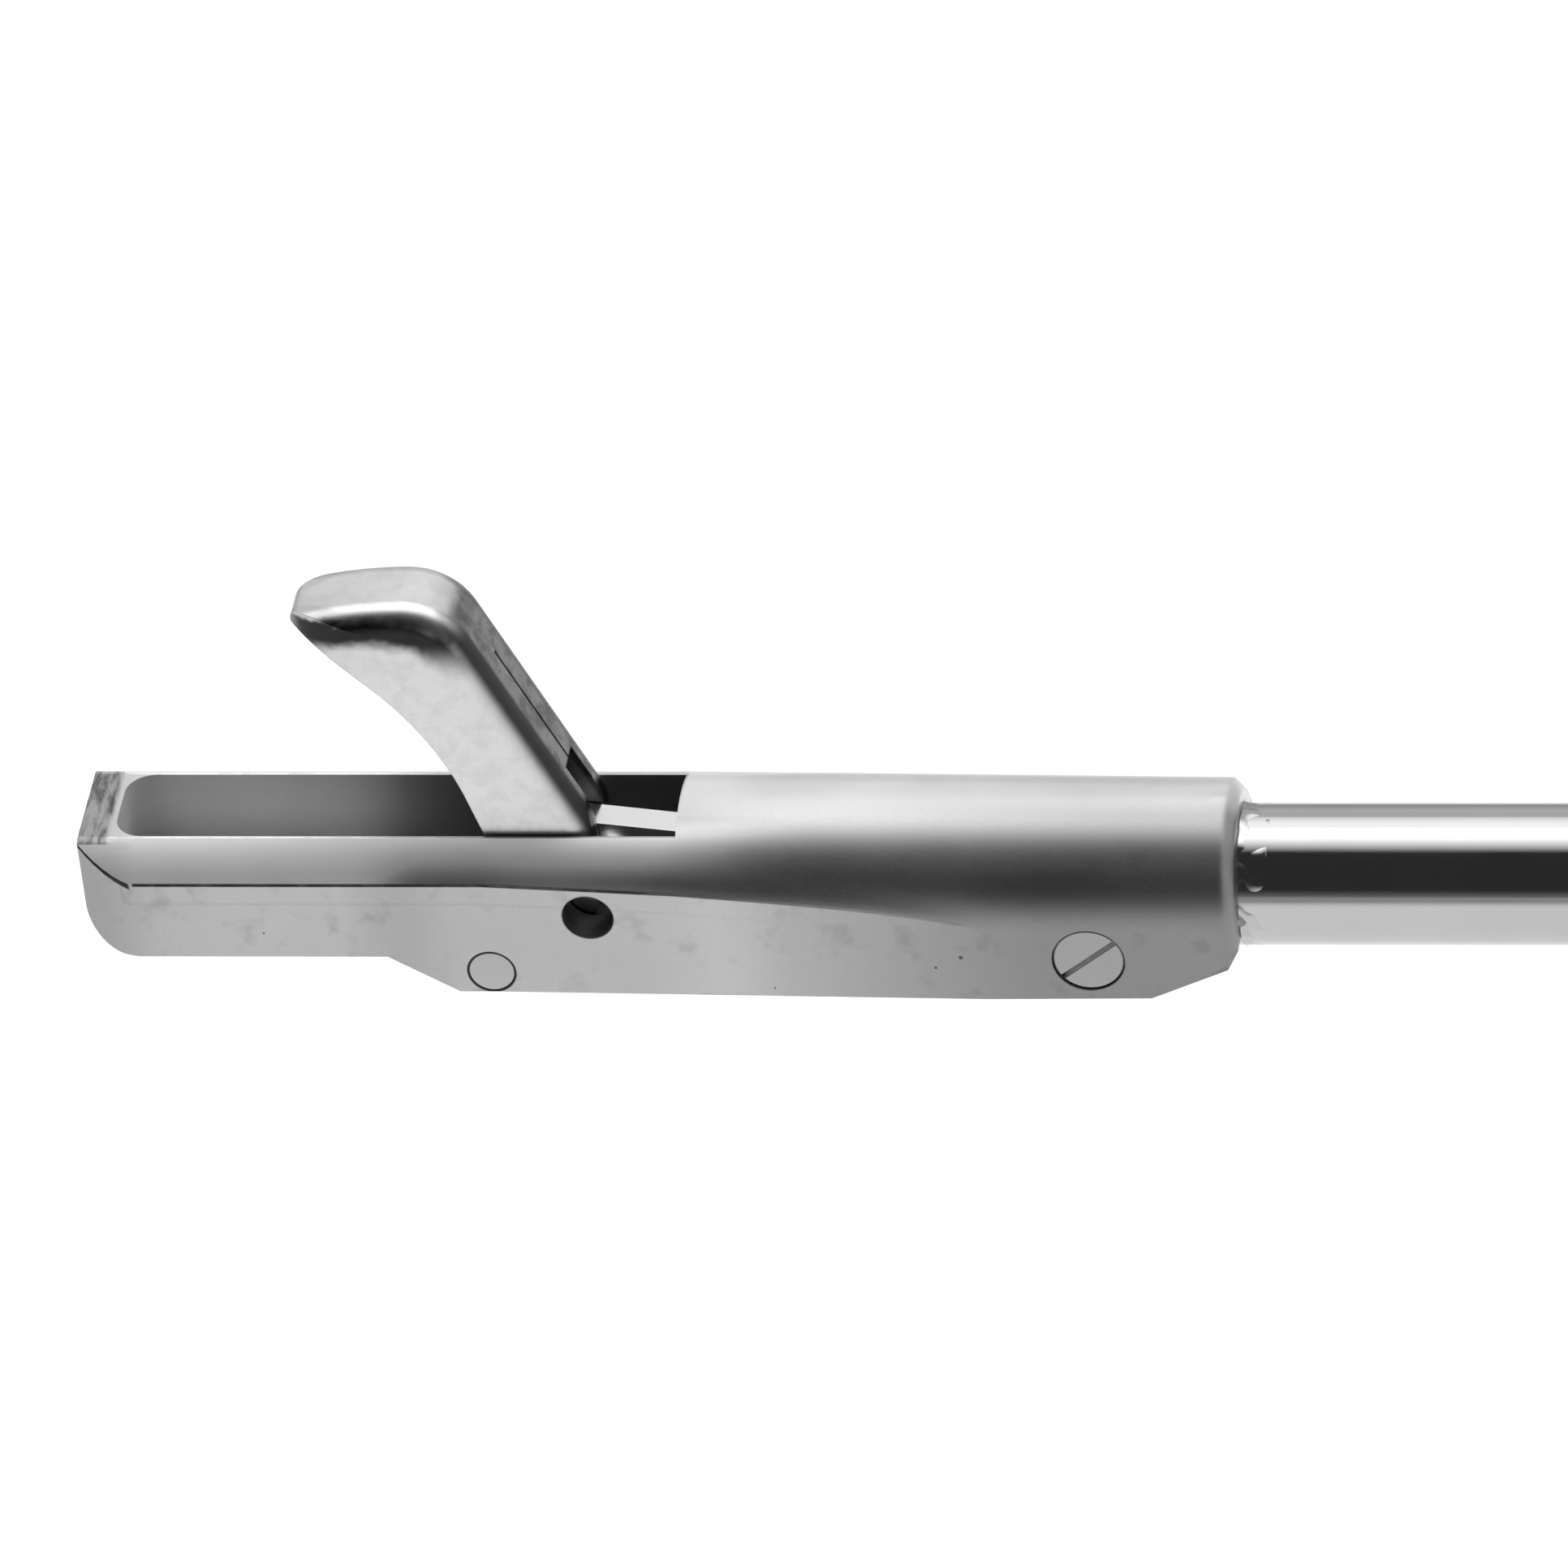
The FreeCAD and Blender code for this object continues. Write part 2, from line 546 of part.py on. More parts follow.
def make_stop_screw():
    body = new_body("stop_screw")
    head, shank = size("stop_head"), size("stop_shank")
    outer = -size("stop_face") + 0.03
    seat = -size("stop_face") + size("stop_head_depth") - FIT
    sketch = new_sketch(body, "XY")
    add_outline(sketch, [(0, outer), (head - 0.06, outer), (head, outer + 0.06), (head, seat),
                         (shank, seat), (shank, 2.6), (shank - 0.2, 2.8), (0, 2.8)])
    turn(body, "Revolution", sketch, "V_Axis")
    sketch = new_sketch(body, "XZ", -outer - 0.28)
    across, length = size("stop_slot") / 2, head + 0.2
    tilt = size("stop_slot_tilt")
    corners = []
    for reach, side in ((-1, -1), (1, -1), (1, 1), (-1, 1)):
        corners.append((length * reach * cosine(tilt) - across * side * sine(tilt),
                        length * reach * sine(tilt) + across * side * cosine(tilt)))
    add_outline(sketch, corners)
    extrude(body, "Pocket", sketch, 1, symmetric=False, reverse=True)
    place(body, -size("stop_x"), 0, -size("stop_drop"))
    return body


def make_tube():
    body = new_body("shaft_tube")
    outer, inner = size("tube_outer"), size("tube_inner")
    front, end = -size("tube_front_x"), along("tube_end")
    sketch = new_sketch(body, "XZ")
    add_box(sketch, front, end, inner, outer)
    turn(body, "Revolution", sketch, "H_Axis")
    sketch = new_sketch(body, "XZ")
    add_circle(sketch, -size("stop_x"), -size("stop_drop"), size("stop_shank") + 2 * FIT)
    extrude(body, "Pocket", sketch, FAR)
    return body


def ring_body(name, points):
    """A piece turned about the shaft's axis from points (x, radius)."""
    body = new_body(name)
    sketch = new_sketch(body, "XZ")
    add_outline(sketch, points)
    turn(body, "Revolution", sketch, "H_Axis")
    return body


def make_braze():
    inner, height = size("tube_outer") + FIT, size("braze_height")
    length = size("braze_length")
    return ring_body("braze_collar", [(FIT, inner), (length, inner), (length, inner + 0.06),
                                      (FIT, inner + height)])


def make_gland():
    tube, x = size("tube_outer") + FIT, NUT_X
    spigot, lip, outer = size("spigot_radius"), size("nut_lip"), size("nut_radius")
    ferrule = x + lip + FIT
    wall = size("ferrule_wall")
    nut_end = size("shaft_length") - 0.15
    nut = ring_body("shaft_gland_nut", [
        (x, tube + 0.04), (x + lip, tube + 0.04), (x + lip, spigot + 0.02),
        (nut_end, spigot + 0.02), (nut_end, outer), (x + 0.8, outer), (x, outer - 1.0)])
    # Grip flutes round the nut.
    sketch = new_sketch(nut, "YZ", x + 1)
    add_circle(sketch, outer + 0.28, 0, 0.75)
    extrude(nut, "Pocket", sketch, 12, symmetric=False, reverse=True)
    cut = nut.Tip
    pattern = nut.newObject("PartDesign::PolarPattern", "Flutes")
    pattern.Originals = [cut]
    pattern.Axis = (sketch, ["N_Axis"])
    pattern.Angle = 360
    pattern.Occurrences = 12
    nut.Tip = pattern
    ring_body("gland_ferrule", [(ferrule, tube), (SPIGOT_X + wall, tube),
                                (SPIGOT_X - FIT, tube + wall), (ferrule, tube + wall)])


def make_guide_bush():
    seat = size("tube_outer") + FIT
    return ring_body("rod_guide_bush", [
        (along("bush_front"), size("bush_bore")), (along("bush_end"), size("bush_bore")),
        (along("bush_end"), seat - FIT), (along("bush_front"), seat - FIT)])


def sweep_arm(body, start_x, start_z, bend, degrees, side):
    """Bevelled arm swept down an arc in the XZ plane; side -1 bends to the tip, 1 to the rear."""
    spine = new_sketch(body, "XZ")
    end_x = start_x + side * bend * (1 - cosine(degrees))
    end_z = start_z - bend * sine(degrees)
    add_outline(spine, [(start_x, start_z, side * bend), (end_x, end_z)], closed=False)
    profile = new_sketch(body, "XY", start_z)
    wide, deep = size("arm_half_width"), size("arm_half_depth")
    cut = size("arm_bevel")
    left, right = start_x - wide, start_x + wide
    add_outline(profile, [(left + cut, -deep), (right - cut, -deep), (right, cut - deep),
                          (right, deep - cut), (right - cut, deep), (left + cut, deep),
                          (left, deep - cut), (left, cut - deep)])
    pipe = body.newObject("PartDesign::AdditivePipe", "Pipe")
    pipe.Profile = profile
    pipe.Spine = (spine, ["Edge1"])
    body.Tip = pipe
    return end_x, end_z


def add_ring(body, end_x, end_z, degrees, side):
    """Finger ring that carries on from the arm's end, bevelled down to its bearing land."""
    reach = (size("ring_inner") + size("ring_outer")) / 2
    x, z = end_x + side * reach * sine(degrees), end_z - reach * cosine(degrees)
    ring_in, ring_out, half = size("ring_inner"), size("ring_outer"), size("ring_half")
    corner = size("ring_bevel")
    sketch = new_sketch(body, "XY", z)
    sketch.addGeometry(Part.LineSegment(FreeCAD.Vector(x.value, -5, 0),
                                        FreeCAD.Vector(x.value, 5, 0)), True)
    constrain(sketch, [(("Vertical", 0), None), (("DistanceX", 0, 1, x.value), x),
                       (("DistanceY", 0, 1, -5.0), as_size(-5)),
                       (("DistanceY", 0, 2, 5.0), as_size(5))])
    inner, outer = x + ring_in, x + ring_out
    add_outline(sketch, [(inner, corner - half), (inner + corner, -half),
                         (outer - corner, -half), (outer, corner - half),
                         (outer, half - corner), (outer - corner, half),
                         (inner + corner, half), (inner, half - corner)])
    turn(body, "Revolution", sketch, "Axis0")
    sketch = new_sketch(body, "XZ")
    add_circle(sketch, x, z, ring_in)
    extrude(body, "Pocket", sketch, FAR)


def make_finger_handle():
    body = new_body("finger_handle")
    hub_x, rear, plate = size("shaft_length"), along("hub_rear"), along("hub_plate")
    radius, half = size("hub_radius"), size("hub_half")
    spigot = size("spigot_radius")
    sketch = new_sketch(body, "XZ")
    add_outline(sketch, [(SPIGOT_X, 0), (SPIGOT_X, spigot), (hub_x, spigot),
                         (hub_x, radius - 0.9), (hub_x + 0.9, radius), (plate + 3, radius),
                         (plate + 3, 0)])
    turn(body, "Revolution", sketch, "H_Axis")
    top_x, top_z, head = along("lever_back"), size("lever_z"), size("lever_head") + 0.2
    sketch = new_sketch(body, "XZ")
    add_outline(sketch, [(plate, -radius), (rear - 3, -radius, as_size(3)), (rear, 3 - radius),
                         (rear - 1.2, 6), (top_x + head, top_z, head), (top_x, top_z + head, head),
                         (top_x - head, top_z), (top_x - head - 3, top_z - 3.2, -9.0),
                         (plate, radius - 0.6)])
    extrude(body, "Pad", sketch, half)
    end_x, end_z = sweep_arm(body, along("arm"), -size("arm_top"), size("arm_bend"),
                             size("arm_angle"), -1)
    add_ring(body, end_x, end_z, size("arm_angle"), -1)

    # Seat for the tube and bush, room for the lock nut, clevis for the lever.
    seat = size("tube_outer") + FIT
    sketch = new_sketch(body, "XZ")
    add_outline(sketch, [(SPIGOT_X - 1, 0), (along("chamber") + 0.5, 0),
                         (along("chamber") + 0.5, size("nut_chamber")),
                         (along("bush_end") + FIT, size("nut_chamber")),
                         (along("bush_end") + FIT, seat), (SPIGOT_X + size("ferrule_wall"), seat),
                         (SPIGOT_X, seat + size("ferrule_wall")),
                         (SPIGOT_X - 1, seat + size("ferrule_wall"))])
    turn(body, "Groove", sketch, "H_Axis")
    cut_side_profile(body, [(along("chamber"), -3 * FAR), (rear + FAR, -3 * FAR),
                            (rear + FAR, 3 * FAR), (along("chamber"), 3 * FAR)],
                     size("chamber_half"))
    sketch = new_sketch(body, "XZ")
    add_circle(sketch, top_x, top_z, size("screw_shank") + FIT)
    extrude(body, "Pocket", sketch, FAR)
    sketch = new_sketch(body, "XY")
    add_circle(sketch, along("set_screw"), 0, size("set_screw_radius") + FIT)
    extrude(body, "Pocket", sketch, FAR, symmetric=False, reverse=True)
    return body


def make_set_screw():
    body = new_body("tube_set_screw")
    radius = size("set_screw_radius")
    low, high = size("tube_outer") + FIT, size("hub_radius") - 0.25
    sketch = new_sketch(body, "XZ")
    add_outline(sketch, [(0, low), (radius - 0.2, low), (radius, low + 0.2), (radius, high - 0.1),
                         (radius - 0.1, high), (0, high)])
    turn(body, "Revolution", sketch, "V_Axis")
    sketch = new_sketch(body, "XY", high - 0.6)
    add_box(sketch, -2, 2, -0.18, 0.18)
    extrude(body, "Pocket", sketch, 2, symmetric=False, reverse=True)
    place(body, along("set_screw"), 0, 0)
    return body


def make_lever():
    """Thumb lever, drawn hanging straight down from its pivot, then swung to rest."""
    body = new_body("thumb_lever")
    head, half, plate = size("lever_head"), size("lever_half"), size("lever_plate_half")
    end = -size("lever_plate_end")
    sketch = new_sketch(body, "XZ")
    add_outline(sketch, [(-plate + 1.1, end), (plate - 1.1, end, as_size(8)), (plate, end + 6),
                         (plate, -1.28), (head, 0, head), (0, head, head), (-head, 0),
                         (-plate, -1.28), (-plate, end + 6, as_size(8))])
    extrude(body, "Pad", sketch, half)
    end_x, end_z = sweep_arm(body, as_size(0), -size("lever_arm_top"), size("lever_arm_bend"),
                             size("lever_arm_angle"), 1)
    add_ring(body, end_x, end_z, size("lever_arm_angle"), 1)
    sketch = new_sketch(body, "XZ")
    add_circle(sketch, 0, 0, size("lever_bush") + FIT)
    extrude(body, "Pocket", sketch, FAR)

    # Long hole for the cross pin and a clevis gap for the rod's tongue.
    pin, near = size("fork_pin") + 0.04, -size("lever_z") + 0.1
    deep = -size("lever_z") / cosine(size("lever_swing")) - 0.1
    sketch = new_sketch(body, "XZ")
    add_outline(sketch, [(pin, near, pin), (0, near + pin, pin), (-pin, near), (-pin, deep, pin),
                         (0, deep - pin, pin), (pin, deep)])
    extrude(body, "Pocket", sketch, FAR)
    cut_side_profile(body, [(-6, near - 4.6), (6, near - 4.6), (6, near + 4.4),
                            (-6, near + 4.4)], size("lever_slot_half"))
    place(body, along("lever_back"), 0, size("lever_z"), -size("lever_swing"))
    return body


def make_tongue():
    body = new_body("rod_tongue")
    swing = size("lever_swing")
    pin_x = along("lever_back") + size("lever_z") * sine(swing) / cosine(swing)
    shoulder = pin_x - size("tongue_shoulder")
    start, radius = shoulder - size("tongue_round_length"), size("tongue_round")
    sketch = new_sketch(body, "XZ")
    add_outline(sketch, [(start, 0), (start, radius - 0.3), (start + 0.3, radius),
                         (shoulder - 0.3, radius), (shoulder, radius - 0.3), (shoulder, 0)])
    turn(body, "Revolution", sketch, "H_Axis")
    tall, tail = size("tongue_height"), pin_x + size("tongue_tail")
    sketch = new_sketch(body, "XZ")
    add_outline(sketch, [(shoulder - 0.5, 0.3 - tall), (shoulder, -tall), (pin_x, -tall, tall),
                         (tail - 0.1, 0, tall), (pin_x, tall), (shoulder, tall),
                         (shoulder - 0.5, tall - 0.3)])
    extrude(body, "Pad", sketch, size("tongue_half"))
    sketch = new_sketch(body, "XZ")
    add_circle(sketch, pin_x, 0, size("fork_pin") + FIT)
    extrude(body, "Pocket", sketch, FAR)
    sketch = new_sketch(body, "XZ")
    depth = size("rod_radius") + FIT
    add_outline(sketch, [(start - 1, 0), (along("rod_end") + 0.05, 0),
                         (along("rod_end") + 0.05, depth), (start - 1, depth)])
    turn(body, "Groove", sketch, "H_Axis")
    cross_cylinder("rod_cross_pin", pin_x, 0, size("fork_pin"), size("chamber_half") - 0.15)
    make_lock_nut(start)
    return body


def make_lock_nut(tongue_start):
    body = new_body("rod_lock_nut")
    corner = size("lock_nut_flat") / cosine(30)
    start = tongue_start - size("lock_nut_length") - 0.02
    sketch = new_sketch(body, "YZ", start)
    add_outline(sketch, [polar(corner, 60 * step) for step in range(6)])
    add_circle(sketch, 0, 0, size("rod_radius") + FIT)
    extrude(body, "Pad", sketch, size("lock_nut_length"), symmetric=False)
    return body


def make_pivot_set():
    """Screw, cap nut, bush and the two friction washers of the lever's pivot."""
    x, z, shank = along("lever_back"), size("lever_z"), size("screw_shank")
    half, head, tall = size("hub_half"), size("screw_head"), size("screw_head_height")
    end = half + 1.2
    body = new_body("lever_pivot_screw")
    sketch = new_sketch(body, "XY")
    add_outline(sketch, [(0, -half - tall), (head - 0.5, -half - tall),
                         (head, 0.5 - half - tall), (head, -half - FIT), (shank, -half - FIT),
                         (shank, end), (0, end)])
    turn(body, "Revolution", sketch, "V_Axis")
    sketch = new_sketch(body, "XZ", half + tall - 0.6)
    add_box(sketch, -4, 4, -0.35, 0.35)
    extrude(body, "Pocket", sketch, 2, symmetric=False, reverse=True)
    place(body, x, 0, z)

    body = new_body("lever_cap_nut")
    tall = size("cap_nut_height")
    sketch = new_sketch(body, "XY")
    add_outline(sketch, [(shank + FIT, half + FIT), (head, half + FIT), (head, half + tall - 0.6),
                         (head - 0.6, half + tall), (0, half + tall), (0, end + 0.05),
                         (shank + FIT, end + 0.05)])
    turn(body, "Revolution", sketch, "V_Axis")
    place(body, x, 0, z)

    body = new_body("lever_bush")
    long = size("lever_half")
    sketch = new_sketch(body, "XY")
    add_box(sketch, shank + 0.03, size("lever_bush"), -long, long)
    turn(body, "Revolution", sketch, "V_Axis")
    place(body, x, 0, z)

    thick, wide = size("washer_thickness"), size("washer_radius")
    for name, low in (("friction_washer_near", -size("chamber_half") + FIT),
                      ("friction_washer_far", size("chamber_half") - FIT - thick)):
        body = new_body(name)
        sketch = new_sketch(body, "XY")
        add_box(sketch, shank + 0.02, wide, low, low + thick)
        turn(body, "Revolution", sketch, "V_Axis")
        place(body, x, 0, z)


make_head()
make_upper_jaw()
cross_cylinder("jaw_pivot_pin", PIVOT_X, PIVOT_Z, size("pivot_radius"),
               size("cheek_front") - 0.01)
make_drive_pin()
make_blade()
for rivet, rivet_x in (("blade_rivet_front", "rivet_front_x"), ("blade_rivet_rear", "rivet_rear_x")):
    cross_cylinder(rivet, -size(rivet_x), 0, size("rivet_radius"), size("rod_radius") - 0.14)
make_rod()
make_stop_screw()
make_tube()
make_braze()
make_gland()
make_guide_bush()
make_finger_handle()
make_set_screw()
make_lever()
make_tongue()
make_pivot_set()
doc.recompute()

os.makedirs("parts", exist_ok=True)
for item in doc.Objects:
    if "Invalid" in item.State or "Error" in item.State:
        raise RuntimeError("%s in %s failed" % (item.Name, item.getParentGeoFeatureGroup()))
for body in BODIES:
    shape = body.Shape
    if shape.isNull() or not shape.isValid() or len(shape.Solids) != 1:
        raise RuntimeError("%s has no single valid solid" % body.Label)
    shape.exportStep("parts/%s.step" % body.Label)
    box = shape.BoundBox
    print("%-22s %8.2f mm3  x %.2f..%.2f  y %.2f..%.2f  z %.2f..%.2f" % (
        body.Label, shape.Volume, box.XMin, box.XMax, box.YMin, box.YMax, box.ZMin, box.ZMax))
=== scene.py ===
# %% [markdown]
# # A biopsy punch, dressed on its CAD frame
# The frame holds every solid of the punch at its real size, in metres. This lesson gives
# each piece its finish, adds the small forms that a metal surface has and a solid model
# leaves out, and sets up the studio. The shaft's axis is X, the jaw opens along Z.

# %% Load the frame
import bpy
import math
import numpy as np
from mathutils import Matrix, Vector


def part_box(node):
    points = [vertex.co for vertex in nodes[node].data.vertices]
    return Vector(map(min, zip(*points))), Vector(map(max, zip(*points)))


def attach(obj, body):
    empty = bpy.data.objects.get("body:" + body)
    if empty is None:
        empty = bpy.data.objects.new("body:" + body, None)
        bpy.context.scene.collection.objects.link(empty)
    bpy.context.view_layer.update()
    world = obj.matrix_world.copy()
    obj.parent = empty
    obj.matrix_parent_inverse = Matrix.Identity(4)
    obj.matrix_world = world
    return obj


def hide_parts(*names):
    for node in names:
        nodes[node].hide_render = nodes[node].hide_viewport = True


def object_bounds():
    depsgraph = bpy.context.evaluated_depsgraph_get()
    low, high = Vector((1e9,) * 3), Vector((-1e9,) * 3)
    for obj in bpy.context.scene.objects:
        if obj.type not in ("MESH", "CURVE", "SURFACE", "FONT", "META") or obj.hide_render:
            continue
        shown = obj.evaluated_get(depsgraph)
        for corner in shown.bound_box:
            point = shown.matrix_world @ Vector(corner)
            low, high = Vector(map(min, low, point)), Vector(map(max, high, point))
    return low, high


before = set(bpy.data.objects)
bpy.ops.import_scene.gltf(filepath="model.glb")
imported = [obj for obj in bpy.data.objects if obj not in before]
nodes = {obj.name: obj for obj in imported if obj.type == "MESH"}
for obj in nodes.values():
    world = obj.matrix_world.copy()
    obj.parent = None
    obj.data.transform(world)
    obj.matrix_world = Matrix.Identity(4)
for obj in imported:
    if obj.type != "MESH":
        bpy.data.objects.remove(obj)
cad_low, cad_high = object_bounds()
mm = 0.001
print("pieces in the frame:", len(nodes))


def node_box(node):
    """Lowest and highest corner of a CAD node, in millimetres."""
    low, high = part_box(node)
    return np.array(low) / mm, np.array(high) / mm


# %% [markdown]
# ## Camera
# The picture was taken with a long lens, almost without perspective, from the near side
# and above. Three unit vectors say how the camera sits: right, up and towards the viewer.
# They turn into a rotation matrix directly, which keeps the shaft level in the frame.

# %% Camera
right = Vector((0.98596, 0.13355, -0.10027)).normalized()
toward = Vector((0.16700, -0.78845, 0.59199)).normalized()
up = toward.cross(right).normalized()
right = up.cross(toward)
aim = Vector((-14.37, -0.25, 3.73)) * mm
lens, sensor, picture_width = 400.0, 36.0, 49.54 * mm
distance = picture_width * lens / sensor
camera_data = bpy.data.cameras.new("studio_camera")
camera_data.lens, camera_data.sensor_width = lens, sensor
camera_data.clip_start, camera_data.clip_end = 0.02, 20.0
camera = bpy.data.objects.new("studio_camera", camera_data)
bpy.context.scene.collection.objects.link(camera)
turn = Matrix((right, up, toward)).transposed().to_4x4()
camera.matrix_world = Matrix.Translation(aim + toward * distance) @ turn
bpy.context.scene.camera = camera
bpy.context.scene.view_settings.view_transform = "Standard"
print("camera stands", round(distance, 3), "m away")

# %% [markdown]
# ## Small helpers for node trees
# Every finish is a little network of nodes. It could be drawn by hand in the shader editor,
# but then nobody could read or repeat it. These helpers add a node, set its plain values
# and join sockets, so that each finish below reads like a recipe.


# %% Node helpers
def add_node(tree, kind, **values):
    """One shader node; values go to its properties."""
    made = tree.nodes.new(kind)
    for key, value in values.items():
        setattr(made, key, value)
    return made


def math_node(tree, operation, first, second=None, third=None):
    """A Math node whose inputs are sockets or plain numbers; returns its output."""
    made = add_node(tree, "ShaderNodeMath", operation=operation)
    for index, value in enumerate((first, second, third)):
        if value is None:
            continue
        if isinstance(value, (int, float)):
            made.inputs[index].default_value = value
        else:
            tree.links.new(value, made.inputs[index])
    return made.outputs[0]


def product(tree, first, *others):
    """All the values multiplied together."""
    for other in others:
        first = math_node(tree, "MULTIPLY", first, other)
    return first


def rgba(grey):
    """A grey as a full colour."""
    return (grey, grey, grey, 1.0)


print("white is", rgba(1.0))

# %% [markdown]
# ## Masks and factors
# A mask is a number from 0 to 1 that says whether a point lies in some region. It comes
# from a comparison with a soft edge, because a hard step would look cut out and would
# flicker between samples. A factor is what a mask does to a grey: it darkens or lightens.


# %% Mask helpers
def glide(tree, value, start, end, first, last, kind="SMOOTHSTEP"):
    """Goes from first to last while the value goes from start to end, and stays there.

    On the way its share s of the distance is eased to 3 s² - 2 s³, unless kind is LINEAR.
    """
    made = add_node(tree, "ShaderNodeMapRange", interpolation_type=kind)
    limits = {"From Min": start, "From Max": end, "To Min": first, "To Max": last}
    for socket, number in limits.items():
        made.inputs[socket].default_value = number
    tree.links.new(value, made.inputs["Value"])
    return made.outputs["Result"]


def above(tree, value, limit, soft=0.02):
    """1 where the value is over the limit, 0 where it is under, with a soft edge."""
    return glide(tree, value, limit - soft, limit + soft, 0.0, 1.0)


def below(tree, value, limit, soft=0.02):
    """1 where the value is under the limit, 0 where it is over, with a soft edge."""
    return glide(tree, value, limit - soft, limit + soft, 1.0, 0.0)


def between(tree, value, low, high, soft=0.02):
    """1 where the value lies from low to high, 0 elsewhere, with soft edges."""
    return product(tree, above(tree, value, low, soft), below(tree, value, high, soft))


def darken(tree, mask, amount):
    """A factor that falls from 1 to 1 - amount where the mask is 1."""
    return math_node(tree, "MULTIPLY_ADD", mask, -amount, 1.0)


def lighten(tree, mask, amount):
    """A factor that rises from 1 to 1 + amount where the mask is 1."""
    return math_node(tree, "MULTIPLY_ADD", mask, amount, 1.0)


def outside(tree, mask):
    """1 where the mask is 0, and the other way round."""
    return darken(tree, mask, 1.0)


print("a quarter of the way along, a glide has done", 3 * 0.25 ** 2 - 2 * 0.25 ** 3)

# %% [markdown]
# ## Noise and places
# Real steel is never even, so the finishes read noise, whose lumps have a size in
# millimetres. The marks need to know where they are: each piece keeps the frame's own
# coordinates, so a mark stays in its place when the piece moves.


# %% Noise and place helpers
def ramp(tree, factor, stops):
    """A colour ramp through (position, grey) stops; returns its colour."""
    made = add_node(tree, "ShaderNodeValToRGB")
    elements = made.color_ramp.elements
    while len(elements) < len(stops):
        elements.new(0.5)
    for element, (position, grey) in zip(elements, stops):
        element.position = position
        element.color = rgba(grey)
    tree.links.new(factor, made.inputs["Fac"])
    return made.outputs["Color"]


def noise(tree, place, size, detail=3.0, rough=0.55, stretch=(1, 1, 1)):
    """Noise round 0.5 with lumps of the given size in millimetres."""
    mapping = add_node(tree, "ShaderNodeMapping")
    mapping.inputs["Scale"].default_value = stretch
    tree.links.new(place, mapping.inputs["Vector"])
    made = add_node(tree, "ShaderNodeTexNoise")
    made.inputs["Scale"].default_value = 1.0 / (size * mm)
    made.inputs["Detail"].default_value = detail
    made.inputs["Roughness"].default_value = rough
    tree.links.new(mapping.outputs[0], made.inputs["Vector"])
    return made.outputs["Fac"]


def place_in_mm(tree):
    """The point's place on the piece: the vector, and x, y, z in millimetres."""
    place = add_node(tree, "ShaderNodeTexCoord").outputs["Object"]
    scaled = add_node(tree, "ShaderNodeVectorMath", operation="SCALE")
    scaled.inputs["Scale"].default_value = 1 / mm
    tree.links.new(place, scaled.inputs[0])
    split = add_node(tree, "ShaderNodeSeparateXYZ")
    tree.links.new(scaled.outputs[0], split.inputs[0])
    return place, split.outputs[0], split.outputs[1], split.outputs[2]


def vector(tree, x, y, z):
    """A vector from three sockets or plain numbers."""
    made = add_node(tree, "ShaderNodeCombineXYZ")
    for socket, value in zip(made.inputs, (x, y, z)):
        if isinstance(value, (int, float)):
            socket.default_value = value
        else:
            tree.links.new(value, socket)
    return made.outputs[0]


def distance_from(tree, x, z, centre):
    """Distance in the side view from a cross axis at centre (x, z)."""
    along = math_node(tree, "SUBTRACT", x, centre[0])
    upward = math_node(tree, "SUBTRACT", z, centre[1])
    squared = math_node(tree, "MULTIPLY_ADD", along, along, product(tree, upward, upward))
    return math_node(tree, "SQRT", squared)


print("shaders measure in millimetres:", round(1 / mm), "to the metre")

# %% [markdown]
# ## The studio round the metal
# Bare steel shows what stands round it. A product photographer puts a bright softbox
# above, a dark card towards the lens and pale paper underneath, and the steel draws them
# as bands. The world can hold those cards: its grey depends on the angle round the
# shaft, from the paper below, over the dark card and the softbox to the grey wall behind.
# Towards both ends of the shaft it fades to one grey, and the lens itself sees white.

# %% World
world = bpy.data.worlds.new("studio")
bpy.context.scene.world = world
world.use_nodes = True
tree = world.node_tree
tree.nodes.clear()
place = add_node(tree, "ShaderNodeTexCoord").outputs["Generated"]
parts = add_node(tree, "ShaderNodeSeparateXYZ")
tree.links.new(place, parts.inputs[0])
backwards = math_node(tree, "MULTIPLY", parts.outputs["Y"], -1.0)
angle = math_node(tree, "ARCTAN2", parts.outputs["Z"], backwards)
share = math_node(tree, "MULTIPLY_ADD", angle, 0.5 / math.pi, 0.5)


def around(degrees):
    """Place on the ramp of an angle round the shaft: 0 faces the lens, 90 is up."""
    return (degrees + 180.0) / 360.0


low_wall, card_rim, card, softbox, wall = 0.45, 0.16, 0.04, 1.75, 0.72
cards = ramp(tree, share, [(0.0, low_wall), (around(-10), low_wall), (around(2), card_rim),
                           (around(10), card), (around(72), card), (around(93), softbox),
                           (around(127), softbox), (around(139), wall), (around(165), wall),
                           (1.0, low_wall)])
ends = math_node(tree, "POWER", math_node(tree, "ABSOLUTE", parts.outputs["X"]), 4.0)
mixed = add_node(tree, "ShaderNodeMix", data_type="RGBA")
tree.links.new(ends, mixed.inputs[0])
tree.links.new(cards, mixed.inputs[6])
mixed.inputs[7].default_value = rgba(low_wall)
paths = add_node(tree, "ShaderNodeLightPath")
lit = add_node(tree, "ShaderNodeBackground")
seen = add_node(tree, "ShaderNodeBackground")
seen.inputs["Color"].default_value = rgba(1.0)
tree.links.new(mixed.outputs[2], lit.inputs["Color"])
switch = add_node(tree, "ShaderNodeMixShader")
tree.links.new(paths.outputs["Is Camera Ray"], switch.inputs[0])
tree.links.new(lit.outputs[0], switch.inputs[1])
tree.links.new(seen.outputs[0], switch.inputs[2])
